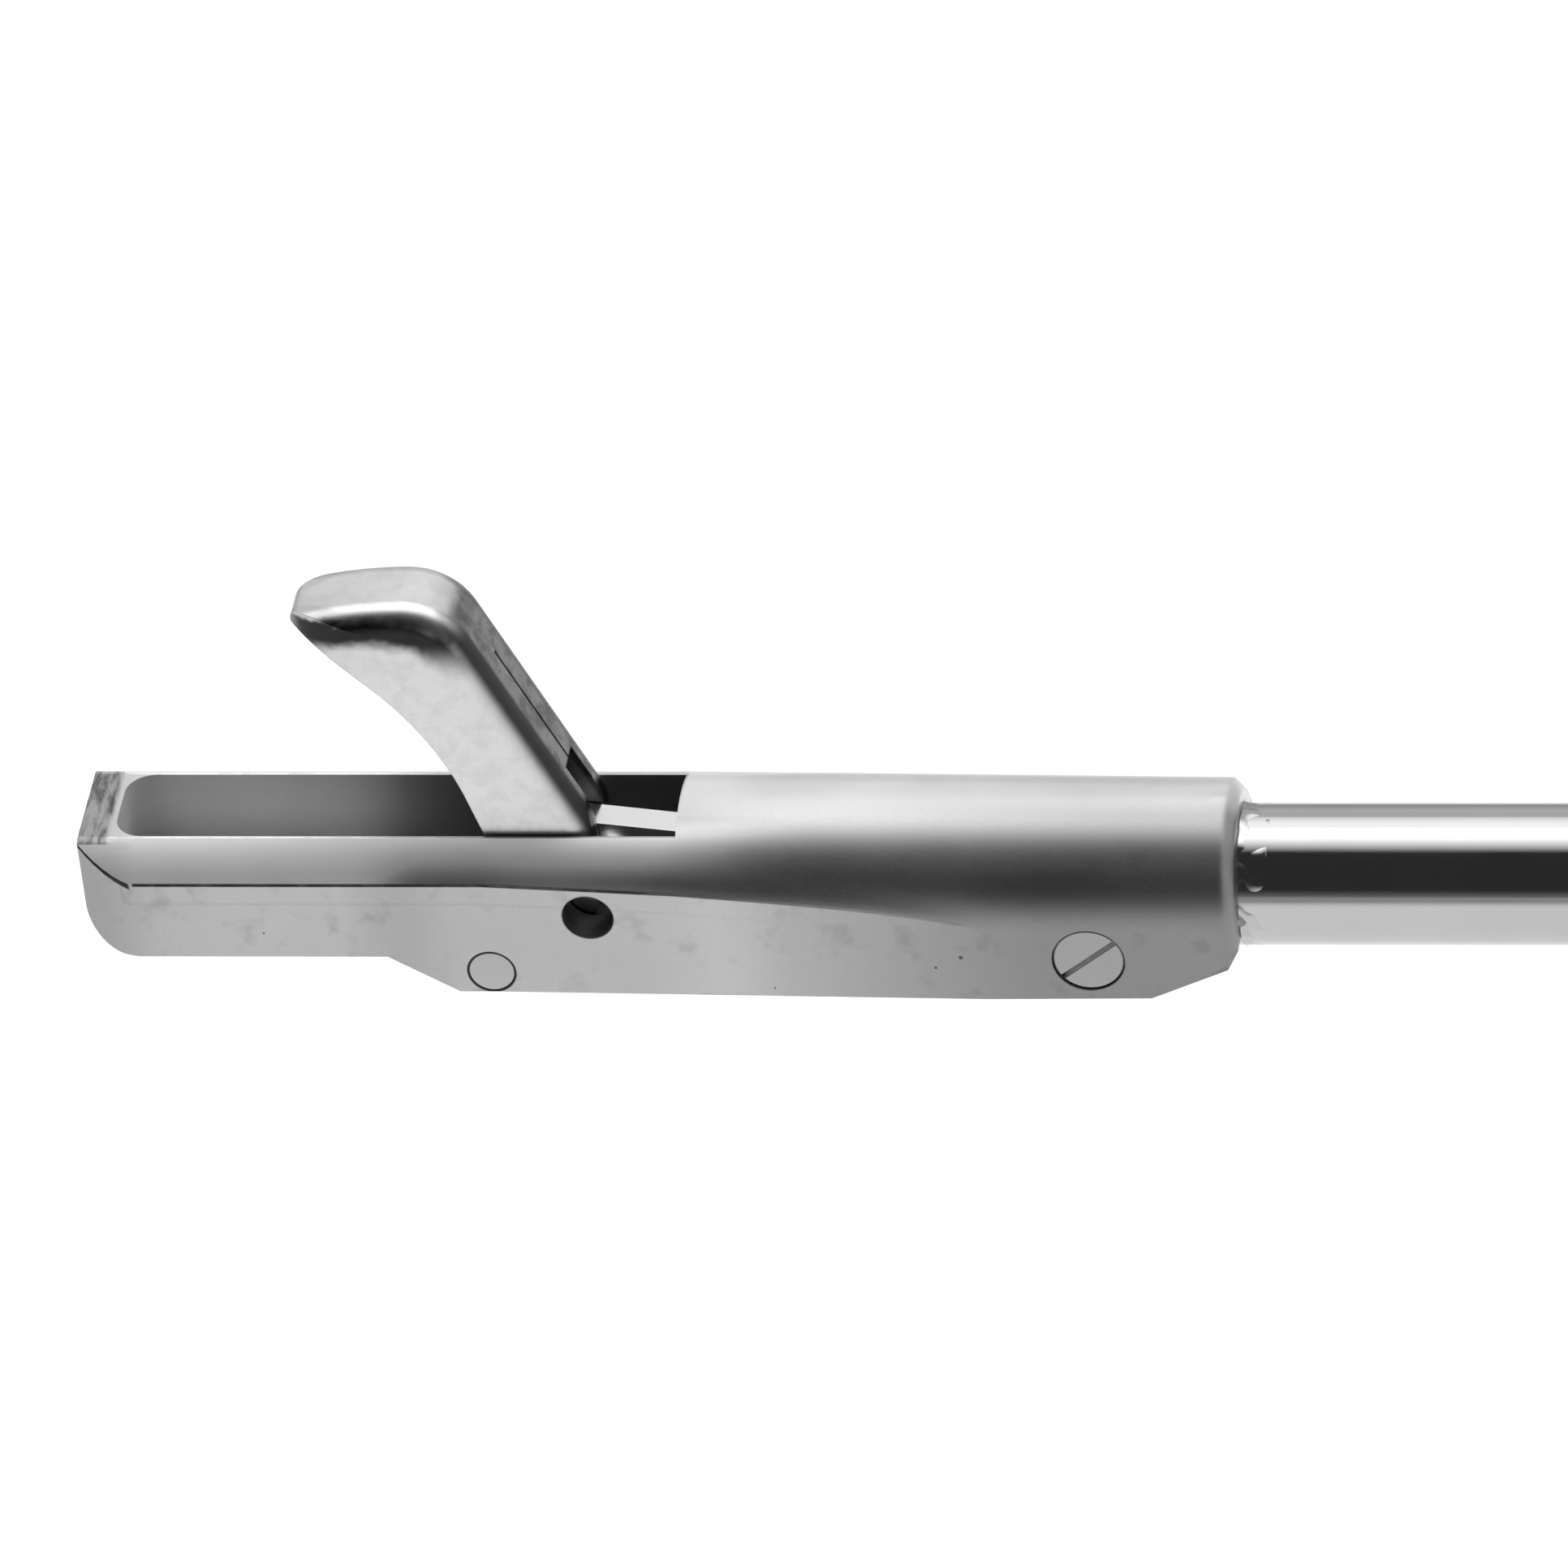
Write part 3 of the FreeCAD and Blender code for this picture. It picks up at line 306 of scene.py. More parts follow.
tree.links.new(switch.outputs[0], add_node(tree, "ShaderNodeOutputWorld").inputs[0])
print("cards round the shaft set")

# %% [markdown]
# ## Softbox lamp
# The drawn cards light the steel, but dull spots and recesses also need a direction of
# light. One broad, weak lamp stands where the softbox is drawn, so its shadows are soft.

# %% Lamp
lamp_data = bpy.data.lights.new("softbox", "AREA")
lamp_data.shape = "RECTANGLE"
lamp_data.size, lamp_data.size_y, lamp_data.energy = 0.6, 0.3, 0.35
lamp = bpy.data.objects.new("softbox", lamp_data)
lamp_place, lamp_lean = (0.0, 0.22, 0.75), math.radians(-16)
lamp.matrix_world = Matrix.Translation(lamp_place) @ Matrix.Rotation(lamp_lean, 4, "X")
bpy.context.scene.collection.objects.link(lamp)
print("lamp of", lamp_data.energy, "W at height", lamp_place[2])

# %% [markdown]
# ## Floor
# The floor is a plain pale sheet below the rings. The lens and the polished steel see it as
# white paper; a little of its colour still comes from the light, which keeps a shadow.
# What the steel sees of it fades to grey a few hands away, as paper does outside its pool
# of light. For dull light it is ordinary paper, so it doesn't brighten the whole studio.

# %% Floor
floor_z, floor_half = cad_low.z - 0.002, 3.0
paper_dull, paper_glow, paper_faint = 0.62, 0.96, 0.12
pool_start, pool_end, outside_pool = 0.24, 0.62, 0.35
floor_mesh = bpy.data.meshes.new("floor")
around_square = ((-1, -1), (1, -1), (1, 1), (-1, 1))
corners = [(x * floor_half, y * floor_half, floor_z) for x, y in around_square]
floor_mesh.from_pydata(corners, [], [(0, 1, 2, 3)])
floor = bpy.data.objects.new("floor", floor_mesh)
bpy.context.scene.collection.objects.link(floor)
paper_finish = bpy.data.materials.new("white_paper")
paper_finish.use_nodes = True
tree = paper_finish.node_tree
tree.nodes.clear()
dull = add_node(tree, "ShaderNodeBsdfDiffuse")
dull.inputs["Color"].default_value = rgba(paper_dull)
glow = add_node(tree, "ShaderNodeEmission")
glow.inputs["Color"].default_value = rgba(paper_glow)
faint = add_node(tree, "ShaderNodeBsdfDiffuse")
faint.inputs["Color"].default_value = rgba(paper_faint)
both = add_node(tree, "ShaderNodeAddShader")
tree.links.new(glow.outputs[0], both.inputs[0])
tree.links.new(faint.outputs[0], both.inputs[1])
rays = add_node(tree, "ShaderNodeLightPath").outputs
from_middle = add_node(tree, "ShaderNodeVectorMath", operation="LENGTH")
tree.links.new(add_node(tree, "ShaderNodeTexCoord").outputs["Object"], from_middle.inputs[0])
pool = glide(tree, from_middle.outputs["Value"], pool_start, pool_end, 1.0, outside_pool)
bright = math_node(tree, "MAXIMUM", pool, rays["Is Camera Ray"])
tree.links.new(bright, glow.inputs["Strength"])
seen_by = math_node(tree, "MAXIMUM", rays["Is Camera Ray"], rays["Is Glossy Ray"])
seen_by = math_node(tree, "MAXIMUM", seen_by, rays["Is Transmission Ray"])
switch = add_node(tree, "ShaderNodeMixShader")
tree.links.new(seen_by, switch.inputs[0])
tree.links.new(dull.outputs[0], switch.inputs[1])
tree.links.new(both.outputs[0], switch.inputs[2])
tree.links.new(switch.outputs[0], add_node(tree, "ShaderNodeOutputMaterial").inputs[0])
floor_mesh.materials.append(paper_finish)
print("floor at", round(floor_z, 4))

# %% [markdown]
# ## Steel
# Steel is a mirror with a fine texture. Blasting or brushing makes the mirror rough in
# tiny grains; handling leaves broad, faint cloudiness. So each finish has two noises:
# a broad one that moves the grey and the roughness, and a fine one that is a bump.
# A finish may also take a shade, which darkens or lightens some places, a dulling, which
# makes some places rougher, and a scale skin, which scatters light like a dull oxide. All
# three are functions of the place on the piece. A turned surface may give its exact normal
# too, because the flat facets of its mesh would show in a long reflection.


# %% Steel recipe
def steel(name, grey, rough, grain=0.12, depth=1.2, cloud=0.06, lines=(1, 1, 1), edge=0.03,
          shade=None, dulling=None, scale_skin=None, turned=None):
    """Bare steel of a grey and a roughness; grains are mm wide and micrometres deep."""
    made = bpy.data.materials.new(name)
    made.use_nodes = True
    tree = made.node_tree
    shader = tree.nodes["Principled BSDF"]
    shader.inputs["Metallic"].default_value = 1.0
    place, x, y, z = place_in_mm(tree)
    broad = noise(tree, place, 4.5, 4.0)
    fine = noise(tree, place, grain, 2.0, stretch=lines)
    tint = ramp(tree, broad, [(0.3, grey * (1 - cloud)), (0.7, min(grey * (1 + cloud), 1.0))])
    if shade:
        tint = math_node(tree, "MULTIPLY", tint, shade(tree, place, x, y, z))
    tree.links.new(tint, shader.inputs["Base Color"])
    patchy = math_node(tree, "MULTIPLY_ADD", broad, 0.12, rough - 0.11)
    texture = math_node(tree, "MULTIPLY_ADD", fine, 0.10, patchy)
    if dulling:
        texture = math_node(tree, "ADD", texture, dulling(tree, place, x, y, z))
    tree.links.new(texture, shader.inputs["Roughness"])
    if scale_skin:
        bare = outside(tree, scale_skin(tree, place, x, y, z))
        tree.links.new(bare, shader.inputs["Metallic"])
    bump = add_node(tree, "ShaderNodeBump")
    bump.inputs["Strength"].default_value = 1.0
    bump.inputs["Distance"].default_value = depth * 1e-6
    tree.links.new(fine, bump.inputs["Height"])
    rounded = add_node(tree, "ShaderNodeBevel", samples=6)
    if isinstance(edge, float):
        rounded.inputs["Radius"].default_value = edge * mm
    else:
        tree.links.new(edge(tree, x), rounded.inputs["Radius"])
    normal = rounded.outputs[0]
    if turned:
        mask, outward = turned(tree, x, y, z)
        world_normal = add_node(tree, "ShaderNodeVectorTransform", vector_type="NORMAL",
                                convert_from="OBJECT", convert_to="WORLD")
        tree.links.new(outward, world_normal.inputs[0])
        either = add_node(tree, "ShaderNodeMix", data_type="VECTOR")
        tree.links.new(mask, either.inputs[0])
        tree.links.new(normal, either.inputs[4])
        tree.links.new(world_normal.outputs[0], either.inputs[5])
        normal = either.outputs[1]
    tree.links.new(normal, bump.inputs["Normal"])
    tree.links.new(bump.outputs[0], shader.inputs["Normal"])
    return made


print("materials so far:", len(bpy.data.materials))

# %% [markdown]
# ## Where a point of the head lies
# A shader is told only the place of the point that it colours. The head is a cylinder
# with a slight taper, cut flat on both sides, and the flat cheeks flare towards the rear.
# With those few sizes the shader can tell the pocket, the round barrel and the flat cheek
# apart: barrel and cheek meet at the height sqrt(barrel² - cheek²). Places are in mm.

# %% Head regions
pin_low, pin_high = node_box("jaw_pivot_pin")
pin_centre = ((pin_low[0] + pin_high[0]) / 2, (pin_low[2] + pin_high[2]) / 2)
pin_radius = (pin_high[0] - pin_low[0]) / 2
hole_centre, hole_radius = (-20.66, 0.40), 0.83
barrel_radius, rear_radius, mouth_x = 3.24, 3.05, -17.76
cheek_front, cheek_rear, flare_start, flare_end = 2.785, 3.16, -24.0, -7.0
pocket_half, pocket_end, deck_z, nose_x = 1.64, -35.92, 2.69, -35.3
edge_soft = 0.015
edge_height = math.sqrt(barrel_radius ** 2 - cheek_front ** 2)
print("pin at", np.round(pin_centre, 2), "and barrel meets cheek at", round(edge_height, 2))


def barrel_reach(tree, x):
    """Radius of the barrel at x: even along the nose, then a slow taper to the rear."""
    return glide(tree, x, mouth_x, 0.0, barrel_radius, rear_radius, "LINEAR")


def barrel_short(tree, x, y, z):
    """By how much the squared distance from the axis falls short of the barrel's."""
    reach = barrel_reach(tree, x)
    from_axis = math_node(tree, "MULTIPLY_ADD", y, y, product(tree, z, z))
    return math_node(tree, "SUBTRACT", product(tree, reach, reach), from_axis)


def over_edge(tree, x, z):
    """Height over the line where barrel and cheek meet, at sqrt(barrel² - cheek²)."""
    reach = barrel_reach(tree, x)
    cheek = glide(tree, x, flare_start, flare_end, cheek_front, cheek_rear, "LINEAR")
    squared = math_node(tree, "SUBTRACT", product(tree, reach, reach), product(tree, cheek, cheek))
    edge = math_node(tree, "SQRT", math_node(tree, "MAXIMUM", squared, 0.0))
    return math_node(tree, "SUBTRACT", z, edge)


def in_pocket(tree, x, y, z):
    """1 inside the bite's pocket and the barrel's mouth."""
    across = math_node(tree, "ABSOLUTE", y)
    return product(tree, below(tree, across, pocket_half), between(tree, z, -1.2, deck_z - 0.02),
                   below(tree, x, -9.0))


def on_barrel(tree, x, y, z):
    """1 on the turned barrel and the nose's upper strip, which is the same turning."""
    return product(tree, above(tree, over_edge(tree, x, z), 0.0, edge_soft),
                   below(tree, barrel_short(tree, x, y, z), 0.29, 0.05),
                   below(tree, x, -0.8, 0.2), above(tree, z, -0.06, 0.05))


def under_edge(tree, x, y, z):
    """1 on the flat cheek in a narrow band just under the barrel."""
    across = math_node(tree, "ABSOLUTE", y)
    over = over_edge(tree, x, z)
    return product(tree, below(tree, over, 0.0, edge_soft), above(tree, over, -0.8, 0.1),
                   above(tree, across, 2.72), below(tree, x, flare_end - 0.1, 0.1),
                   above(tree, z, -0.06, 0.05))


# %% [markdown]
# ## Milled, blasted and brushed, with painted light and shade
# The head is one block of steel. Its grey tells partly how each part of it was worked and
# partly carries painted light and shade. The pocket is cut by milling and never polished;
# its grey is painted shade, darkest under the jaw. The nose is blasted light. The upper
# strip turns from blasted to a polish on its way to the barrel and gets a painted
# highlight towards its top. The barrel is brushed and faces the softbox with its top,
# which carries a painted highlight, while its near side and rear carry painted shade.


# %% Head greys
def pocket_painted_shade(tree, x, y, z):
    """Painted shade in the pocket: falls under the jaw, low down and at the front end."""
    # Painted shade: the pocket darkens under the jaw, low down and at its front wall.
    shade_inside = product(tree, glide(tree, x, -29.6, -24.0, 1.22, 0.26),
                     glide(tree, z, -0.6, 1.8, 0.50, 1.0), glide(tree, x, -36.0, -34.6, 0.78, 1.0))
    inside = in_pocket(tree, x, y, z)
    return math_node(tree, "MULTIPLY_ADD", inside, shade_inside, outside(tree, inside))


def nose_and_cheek_grey(tree, x, y, z):
    """The blasted nose is lighter, and the cheek behind it a little."""
    nose = product(tree, glide(tree, x, -28.8, -26.0, 1.60, 1.0),
                   glide(tree, x, -37.0, -34.0, 0.74, 1.0))
    cheek = product(tree, outside(tree, on_barrel(tree, x, y, z)),
                    above(tree, math_node(tree, "ABSOLUTE", y), 2.5),
                    between(tree, x, -26.0, -15.5, 1.5))
    return product(tree, nose, lighten(tree, cheek, 0.22))


def strip_grey(tree, x, y, z):
    """Strip beside the pocket: blasted in front, then a polish and painted highlight higher up."""
    across = math_node(tree, "ABSOLUTE", y)
    upper = product(tree, on_barrel(tree, x, y, z), above(tree, across, 1.2, 0.2))
    blasted = product(tree, upper, glide(tree, x, -27.4, -25.8, 0.42, -0.18),
                      below(tree, x, -23.5, 1.0))
    # Painted highlight: the polished upper part grows lighter towards its top.
    polish_and_sheen = product(tree, upper, above(tree, x, -27.75, 1.25), below(tree, x, -16.25, 3.25),
                       glide(tree, z, 1.65, 2.3, 0.1, 1.15), below(tree, z, 2.9, 0.2))
    return math_node(tree, "ADD", 1.0, math_node(tree, "ADD", blasted, polish_and_sheen))


def deck_edge_highlight(tree, place, x, y, z):
    """A painted highlight along the deck's edge beside the pocket, broken up by noise."""
    across = math_node(tree, "ABSOLUTE", y)
    broken_up = glide(tree, noise(tree, place, 0.5, 3.0), 0.36, 0.6, 0.1, 1.0)
    # Painted highlight along the deck's edge, broken up by noise.
    ridge = product(tree, between(tree, z, deck_z - 0.05, deck_z + 0.1),
                    between(tree, across, 1.66, 1.9), below(tree, x, -25.0, 2.0), broken_up)
    return lighten(tree, ridge, 0.35)


def barrel_painted_light(tree, x, y, z):
    """Painted highlight on the barrel's top; painted shade on its near side and the cheek under
    it.
    """
    across = math_node(tree, "ABSOLUTE", y)
    # Painted light: highlight on the top, shade on the near side, the low band and the rear.
    top = product(tree, above(tree, y, -0.05, 0.85), above(tree, z, 1.2),
                  above(tree, x, mouth_x + 0.05, 0.05))
    near = product(tree, between(tree, y, -2.1, -0.5, 0.4), above(tree, z, 1.0, 0.8),
                   above(tree, x, -8.5, 6.5))
    low_band = product(tree, between(tree, over_edge(tree, x, z), 0.0, 0.45, 0.25),
                       between(tree, x, -20.0, -9.0, 2.0), above(tree, across, 2.5))
    rear = product(tree, above(tree, across, 2.6, 0.3), above(tree, x, -11.0, 6.0))
    return product(tree, lighten(tree, top, 0.75), darken(tree, near, 0.26),
                   darken(tree, low_band, 0.3), darken(tree, rear, 0.42))


print("greys for pocket, nose, strip, painted edge highlight and barrel; deck at", deck_z, "mm")

# %% [markdown]
# ## The head's marks
# A fine dark line runs where the barrel meets the cheek and goes on round the nose's
# corner. A dark ring stands round the pin, the wall of the open hole gets painted shade,
# the land in front of the pocket is streaked, and the cheek has faint stains and a few
# pits. Each mark is a mask from 0 to 1 that darkens the grey by its own amount, and all
# the factors are multiplied.

# %% Head marks
pits = [(-9.64, -1.39, 0.07), (-8.80, -0.97, 0.10), (-31.2, -0.3, 0.05), (-14.9, -2.3, 0.05)]


def seam_line(tree, place, x, y, z):
    """A fine dark line just under the barrel's edge, which fades to the rear."""
    across = math_node(tree, "ABSOLUTE", y)
    straight = product(tree, above(tree, across, 2.6), above(tree, x, nose_x + 0.05, 0.05),
                       between(tree, over_edge(tree, x, z), -0.11, 0.01))
    corner = product(tree, between(tree, across, 1.3, 3.0), below(tree, x, nose_x - 0.05, 0.05),
                     between(tree, barrel_short(tree, x, y, z), 0.06, 0.70, 0.05))
    return product(tree, math_node(tree, "MAXIMUM", straight, corner),
                   between(tree, z, 0.3, deck_z - 0.08), glide(tree, x, -20.0, -8.0, 1.0, 0.25),
                   glide(tree, noise(tree, place, 0.8, 3.0), 0.30, 0.55, 0.9, 1.0))


def land_streaks(tree, place, x, z):
    """Dark streaks on the land in front of the pocket."""
    streaks = noise(tree, place, 0.6, 3.0, 0.6, stretch=(2.2, 0.5, 1))
    return product(tree, below(tree, x, pocket_end - 0.2, 0.1), above(tree, z, deck_z - 0.1),
                   glide(tree, streaks, 0.30, 0.62, 1.0, 0.35))


def cheek_stains(tree, place, x, y, z):
    """Faint cloudy stains on the flat cheek."""
    clouds = noise(tree, place, 1.1, 2.0, 0.6)
    return product(tree, above(tree, math_node(tree, "ABSOLUTE", y), 2.5),
                   outside(tree, on_barrel(tree, x, y, z)), above(tree, clouds, 0.65, 0.11))


def round_marks(tree, x, y, z):
    """A factor for the ring round the pin, painted shade on the open hole's wall, and the pits."""
    across = math_node(tree, "ABSOLUTE", y)
    on_cheek = above(tree, across, 2.5)
    from_pin = distance_from(tree, x, z, pin_centre)
    ring = between(tree, from_pin, pin_radius - 0.02, pin_radius + 0.08, 0.015)
    # Painted shade on the wall of the open hole.
    from_hole = distance_from(tree, x, z, hole_centre)
    hole = product(tree, above(tree, across, 1.6), below(tree, from_hole, hole_radius + 0.03))
    dirt = 0.0
    for pit_x, pit_z, radius in pits:
        from_pit = distance_from(tree, x, z, (pit_x, pit_z))
        dirt = math_node(tree, "ADD", below(tree, from_pit, 0.7 * radius, 0.3 * radius), dirt)
    return product(tree, darken(tree, product(tree, on_cheek, ring), 0.92),
                   darken(tree, hole, 0.32), darken(tree, product(tree, on_cheek, dirt), 0.7))


def head_shade(tree, place, x, y, z):
    """All the head's greys and marks, multiplied."""
    return product(tree, pocket_painted_shade(tree, x, y, z), nose_and_cheek_grey(tree, x, y, z),
                   strip_grey(tree, x, y, z), deck_edge_highlight(tree, place, x, y, z),
                   barrel_painted_light(tree, x, y, z),
                   darken(tree, seam_line(tree, place, x, y, z), 0.93),
                   darken(tree, land_streaks(tree, place, x, z), 0.80),
                   darken(tree, cheek_stains(tree, place, x, y, z), 0.16),
                   round_marks(tree, x, y, z))


print("pits in the cheek:", len(pits))

# %% [markdown]
# ## The head's texture and exact shape
# Blasting leaves the nose rougher than the brushed barrel. The pocket keeps a dull grey
# skin that scatters light instead of mirroring it. On the barrel and on the cheek close to
# its edge the shader doesn't trust the mesh: it works out which way the true surface faces.


# %% Head finish
def head_dulling(tree, place, x, y, z):
    """Extra roughness: most on the nose, some up to the barrel's mouth, more in the pocket."""
    rougher = math_node(tree, "ADD", glide(tree, x, -28.4, -26.0, 0.16, 0.0),
                        glide(tree, x, -20.0, -14.0, 0.12, 0.0))
    return math_node(tree, "MULTIPLY_ADD", in_pocket(tree, x, y, z), 0.15, rougher)


def head_skin(tree, place, x, y, z):
    """The pocket keeps the dull grey skin of its milling, which scatters light."""
    return in_pocket(tree, x, y, z)


def head_turned(tree, x, y, z):
    """Exact normals: the barrel's points away from the axis, the cheek's straight sideways.

    Both lean a little along x, with the barrel's taper and the cheek's flare.
    """
    barrel, cheek = on_barrel(tree, x, y, z), under_edge(tree, x, y, z)
    taper = (barrel_radius - rear_radius) / -mouth_x * barrel_radius
    flare = (cheek_front - cheek_rear) / (flare_end - flare_start) * cheek_rear
    barrel_lean = glide(tree, x, mouth_x, mouth_x + 0.01, 0.0, taper)
    cheek_lean = glide(tree, x, flare_start, flare_start + 0.01, 0.0, flare)
    lean = math_node(tree, "ADD", product(tree, barrel, barrel_lean),
                     product(tree, cheek, cheek_lean))
    unit = add_node(tree, "ShaderNodeVectorMath", operation="NORMALIZE")
    upward = product(tree, z, outside(tree, cheek))
    tree.links.new(vector(tree, lean, y, upward), unit.inputs[0])
    return math_node(tree, "ADD", barrel, cheek), unit.outputs[0]


def head_edge(tree, x):
    """Bevel radius in metres: the rear edge is well rounded, the others barely."""
    return glide(tree, x, -1.2, -0.7, 0.05 * mm, 0.32 * mm)


head_finish = steel("satin_head", 0.49, 0.40, grain=0.10, depth=0.7, edge=head_edge,
                    shade=head_shade, dulling=head_dulling, scale_skin=head_skin,
                    turned=head_turned)
print("head finish has", len(head_finish.node_tree.nodes), "nodes")

# %% [markdown]
# ## The jaw's bands
# The jaw is the brightest piece, because its sides are ground and its crown is polished. A
# polished bend mirrors the dark card as a band that follows the outline, so the bands are
# drawn at a depth under the outline: the back is a straight line and the crown a shallow
# parabola, and a smooth maximum joins the two round the bend.

# %% Jaw shade
back_corner, back_lean = (-23.70, 9.99), math.radians(65.3)
crown_middle, crown_bend = (-25.79, 11.33), 0.0405


def past_back(tree, x, z):
    """Distance beyond the jaw's straight back; negative inside."""
    along = math_node(tree, "SUBTRACT", x, back_corner[0])
    upward = math_node(tree, "SUBTRACT", z, back_corner[1])
    return math_node(tree, "MULTIPLY_ADD", along, math.sin(back_lean),
                     product(tree, upward, math.cos(back_lean)))


def past_crown(tree, x, z):
    """Height over the crown's parabola; negative inside."""
    along = math_node(tree, "SUBTRACT", x, crown_middle[0])
    upward = math_node(tree, "SUBTRACT", z, crown_middle[1])
    return math_node(tree, "MULTIPLY_ADD", product(tree, along, along), crown_bend, upward)


def crown_band(tree, place, x, y, z):
    """The dark band on the jaw's sides under the crown, with a rippled lower edge."""
    across = math_node(tree, "ABSOLUTE", y)
    outline = math_node(tree, "SMOOTH_MAX", past_back(tree, x, z), past_crown(tree, x, z), 2.2)
    ripple = math_node(tree, "MULTIPLY_ADD", noise(tree, place, 0.9, 2.0), 0.5, -0.25)
    depth = math_node(tree, "SUBTRACT", ripple, outline)
    flat_half = glide(tree, x, -29.4, -27.0, 0.35, 1.25)
    side = above(tree, math_node(tree, "SUBTRACT", across, flat_half), 0.0, 0.1)
    beak = product(tree, below(tree, x, -27.5, 0.5), above(tree, depth, 0.2, 0.1))
    start = math_node(tree, "MAXIMUM", glide(tree, depth, 0.10, 0.50, 0.15, 1.0), beak)
    return product(tree, side, start, below(tree, depth, 1.175, 0.275), above(tree, z, 9.4, 0.8),
                   glide(tree, x, -29.8, -29.0, 0.2, 1.0))


def jaw_shade(tree, place, x, y, z):
    """Painted shade at the root, in the slot, on the back and its edges; the crown's band; grime.
    """
    across = math_node(tree, "ABSOLUTE", y)
    beyond = past_back(tree, x, z)
    # Painted shade: darker at the root and in the slot, and on the back and along its edges.
    root = glide(tree, z, 1.4, 2.9, 0.55, 1.0)
    slot = product(tree, below(tree, across, 0.565), below(tree, z, 4.66))
    edge = product(tree, between(tree, across, 0.80, 1.40, 0.12),
                   above(tree, beyond, -0.425, 0.125), glide(tree, z, 9.9, 11.2, 1.0, 0.3))
    back = product(tree, below(tree, across, 0.85, 0.12), above(tree, beyond, -0.2, 0.1),
                   below(tree, z, 10.8, 0.5))
    spots = above(tree, noise(tree, place, 0.8, 4.0, 0.65), 0.53, 0.11)
    grime = product(tree, spots, math_node(tree, "MULTIPLY_ADD", back, 0.40, 0.08))
    return product(tree, root, darken(tree, slot, 0.6),
                   darken(tree, crown_band(tree, place, x, y, z), 0.955),
                   darken(tree, edge, 0.86), darken(tree, back, 0.58), outside(tree, grime))


jaw_finish = steel("satin_jaw", 0.71, 0.35, grain=0.10, depth=0.9, edge=0.05, shade=jaw_shade)
print("jaw finish has", len(jaw_finish.node_tree.nodes), "nodes")

# %% [markdown]
# ## The other finishes
# The tube is drawn, so its marks run along it. The handle is satin, the small turned
# pieces are ground, and the hidden bearings are bronze. The stop screw's face is ground,
# but oxide stays in its slot, where no wheel reaches.

# %% Tube, screw and handle finishes
screw_face = node_box("stop_screw")[0][1]


def screw_skin(tree, place, x, y, z):
    """Oxide stays in the screw's slot, below its face."""
    return above(tree, y, screw_face + 0.04, 0.02)


def screw_slot_painted_light(tree, place, x, y, z):
    """The oxide scatters light; the slot is also painted lighter than the bare face."""
    # Painted light: the narrow slot is written lighter so that it doesn't render dark.
    return lighten(tree, screw_skin(tree, place, x, y, z), 1.5)


finishes = {
    "polished_tube": steel("polished_tube", 0.50, 0.09, grain=0.05, depth=0.12, cloud=0.03,
                           lines=(0.04, 1, 1)),
    "ground_blade": steel("ground_blade", 0.94, 0.20, grain=0.06, lines=(0.08, 1, 1)),
    "pin_steel": steel("pin_steel", 0.45, 0.30, grain=0.08),
    "handle_satin": steel("handle_satin", 0.50, 0.30, grain=0.12, edge=0.15),
    "handle_polish": steel("handle_polish", 0.55, 0.14, grain=0.08, depth=0.5, edge=0.12),
    "screw_steel": steel("screw_steel", 0.37, 0.34, grain=0.08, shade=screw_slot_painted_light,
                         scale_skin=screw_skin),
    "braze_alloy": steel("braze_alloy", 0.46, 0.17, grain=0.15, depth=1.0, cloud=0.10),
    "bearing_bronze": steel("bearing_bronze", 0.4, 0.3, grain=0.08),
}
wears = {
    "polished_tube": ["shaft_tube", "drive_rod"],
    "ground_blade": ["drive_blade", "blade_rivet_front", "blade_rivet_rear"],
    "pin_steel": ["jaw_pivot_pin", "drive_pin", "rod_cross_pin", "rod_tongue", "rod_lock_nut",
                  "tube_set_screw"],
    "screw_steel": ["stop_screw"],
    "handle_satin": ["finger_handle", "thumb_lever"],
    "handle_polish": ["shaft_gland_nut", "lever_pivot_screw", "lever_cap_nut"],
    "braze_alloy": ["braze_collar"],
    "bearing_bronze": ["gland_ferrule", "rod_guide_bush", "lever_bush", "friction_washer_near",
                       "friction_washer_far"],
}


def dress(node, finish):
    """Give a CAD node its finish."""
    mesh = nodes[node].data
    mesh.materials.clear()
    mesh.materials.append(finish)


dress("jaw_head", head_finish)
dress("upper_jaw", jaw_finish)
for name, wearers in wears.items():
    for node in wearers:
        dress(node, finishes[name])
print("finishes:", len(finishes) + 2)

# %% [markdown]
# ## From a grid of points to a surface
# The braze below is a surface in two parameters: one runs round the tube, the other round
# the braze's own section. It is worked out as one array of points, then joined into
# squares. The grid closes on itself both ways, so it is a ring without open edges.


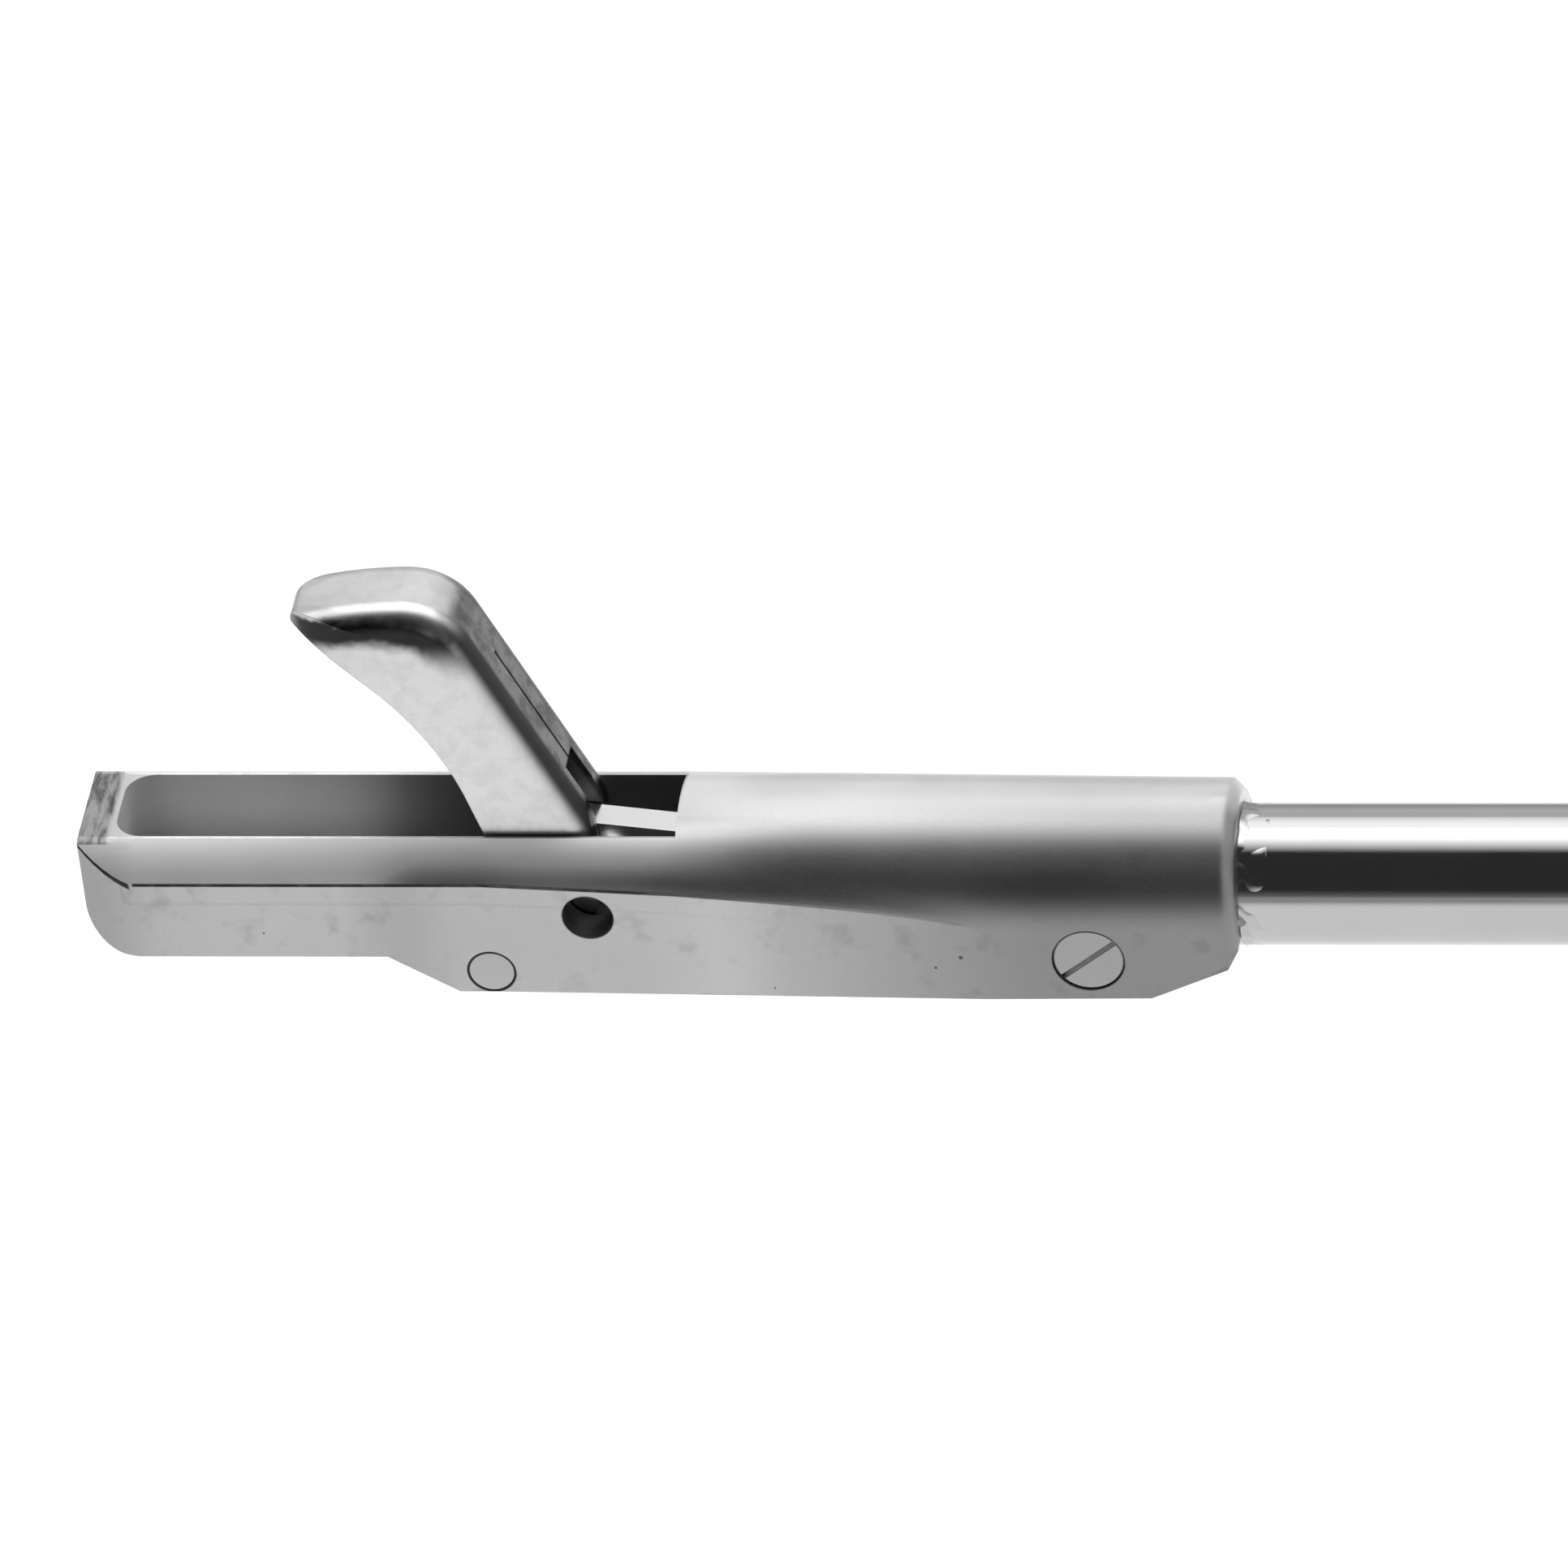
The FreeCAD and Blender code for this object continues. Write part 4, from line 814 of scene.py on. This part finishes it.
# %% Surface helper
def ring_surface(name, points, finish, body):
    """A closed mesh from points[row, column] in mm; rows and columns both go round.

    A square joins points (r, c), (r, c + 1), (r + 1, c + 1) and (r + 1, c). The volume
    inside, a sum of triple products over the squares, is negative when they face inwards.
    """
    rows, columns = points.shape[:2]
    row, column = np.meshgrid(np.arange(rows), np.arange(columns), indexing="ij")
    next_row, next_column = (row + 1) % rows, (column + 1) % columns
    quads = np.stack([row * columns + column, row * columns + next_column,
                      next_row * columns + next_column, next_row * columns + column], axis=-1)
    faces = quads.reshape(-1, 4)
    corners = points.reshape(-1, 3)
    a, b, c, d = (corners[faces[:, k]] for k in range(4))
    volume = np.einsum("ij,ij->i", np.cross(b - a, c - a) + np.cross(c - a, d - a), a).sum()
    if volume < 0:
        faces = faces[:, ::-1]
    mesh = bpy.data.meshes.new(name)
    mesh.from_pydata((corners * mm).tolist(), [], faces.tolist())
    mesh.polygons.foreach_set("use_smooth", np.ones(len(faces), dtype=bool))
    mesh.materials.append(finish)
    made = bpy.data.objects.new(name, mesh)
    bpy.context.scene.collection.objects.link(made)
    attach(made, body)
    print(name, "has", len(faces), "squares")
    return made


# %% [markdown]
# ## Braze where the tube enters the head
# Silver braze flows round the joint and freezes in flat, uneven drops. A plain cone would
# look machined, and drops placed one by one would look like beads. Here the braze is a
# thin skin over the tube whose height is a sum of waves in two directions, minus a slope:
# close to the head it is nearly always above the tube, and further out only the tops of
# the waves show, which gives drops with ragged edges.

# %% Braze drops
tube_radius, braze_start, braze_length = 2.25, 0.02, 0.95
braze_height, braze_sunk, braze_inside = 0.06, 0.004, 0.06
steps_round, steps_along, wave_count = 720, 26, 9
angle = np.linspace(0, 2 * np.pi, steps_round, endpoint=False)[:, None]
way = np.linspace(0.0, 1.0, steps_along)[None, :]


def drops(angle, way):
    """Height from -1 to 1: 0.35 + a sixth of the sum of waves - 0.95 of the way out.

    Each wave is cos(count * angle + tilt * way + shift), with numbers from a fixed draw.
    """
    dice = np.random.default_rng(5)
    counts, tilts = dice.integers(3, 19, wave_count), dice.uniform(-6, 6, wave_count)
    shifts = dice.uniform(0, 2 * np.pi, wave_count)
    waves = np.cos(angle[..., None] * counts + way[..., None] * tilts + shifts)
    return np.clip(0.35 + 0.5 * (waves.sum(axis=-1) / 3.0) - 0.95 * way, -1.0, 1.0)


outer = tube_radius - braze_sunk + braze_height * np.maximum(drops(angle, way), -0.35)
outer_x = braze_start + braze_length * np.broadcast_to(way, outer.shape)
inner = np.full(outer.shape, tube_radius - braze_inside)
radius = np.concatenate([outer, inner], axis=1)
along = np.concatenate([outer_x, outer_x[:, ::-1]], axis=1)
skin = np.stack([along, -radius * np.cos(angle), radius * np.sin(angle)], axis=-1)
braze = ring_surface("braze_drops", skin, finishes["braze_alloy"], "frame")
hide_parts("braze_collar")
print("braze drops up to", round(float(radius.max()) - tube_radius, 2), "mm high")
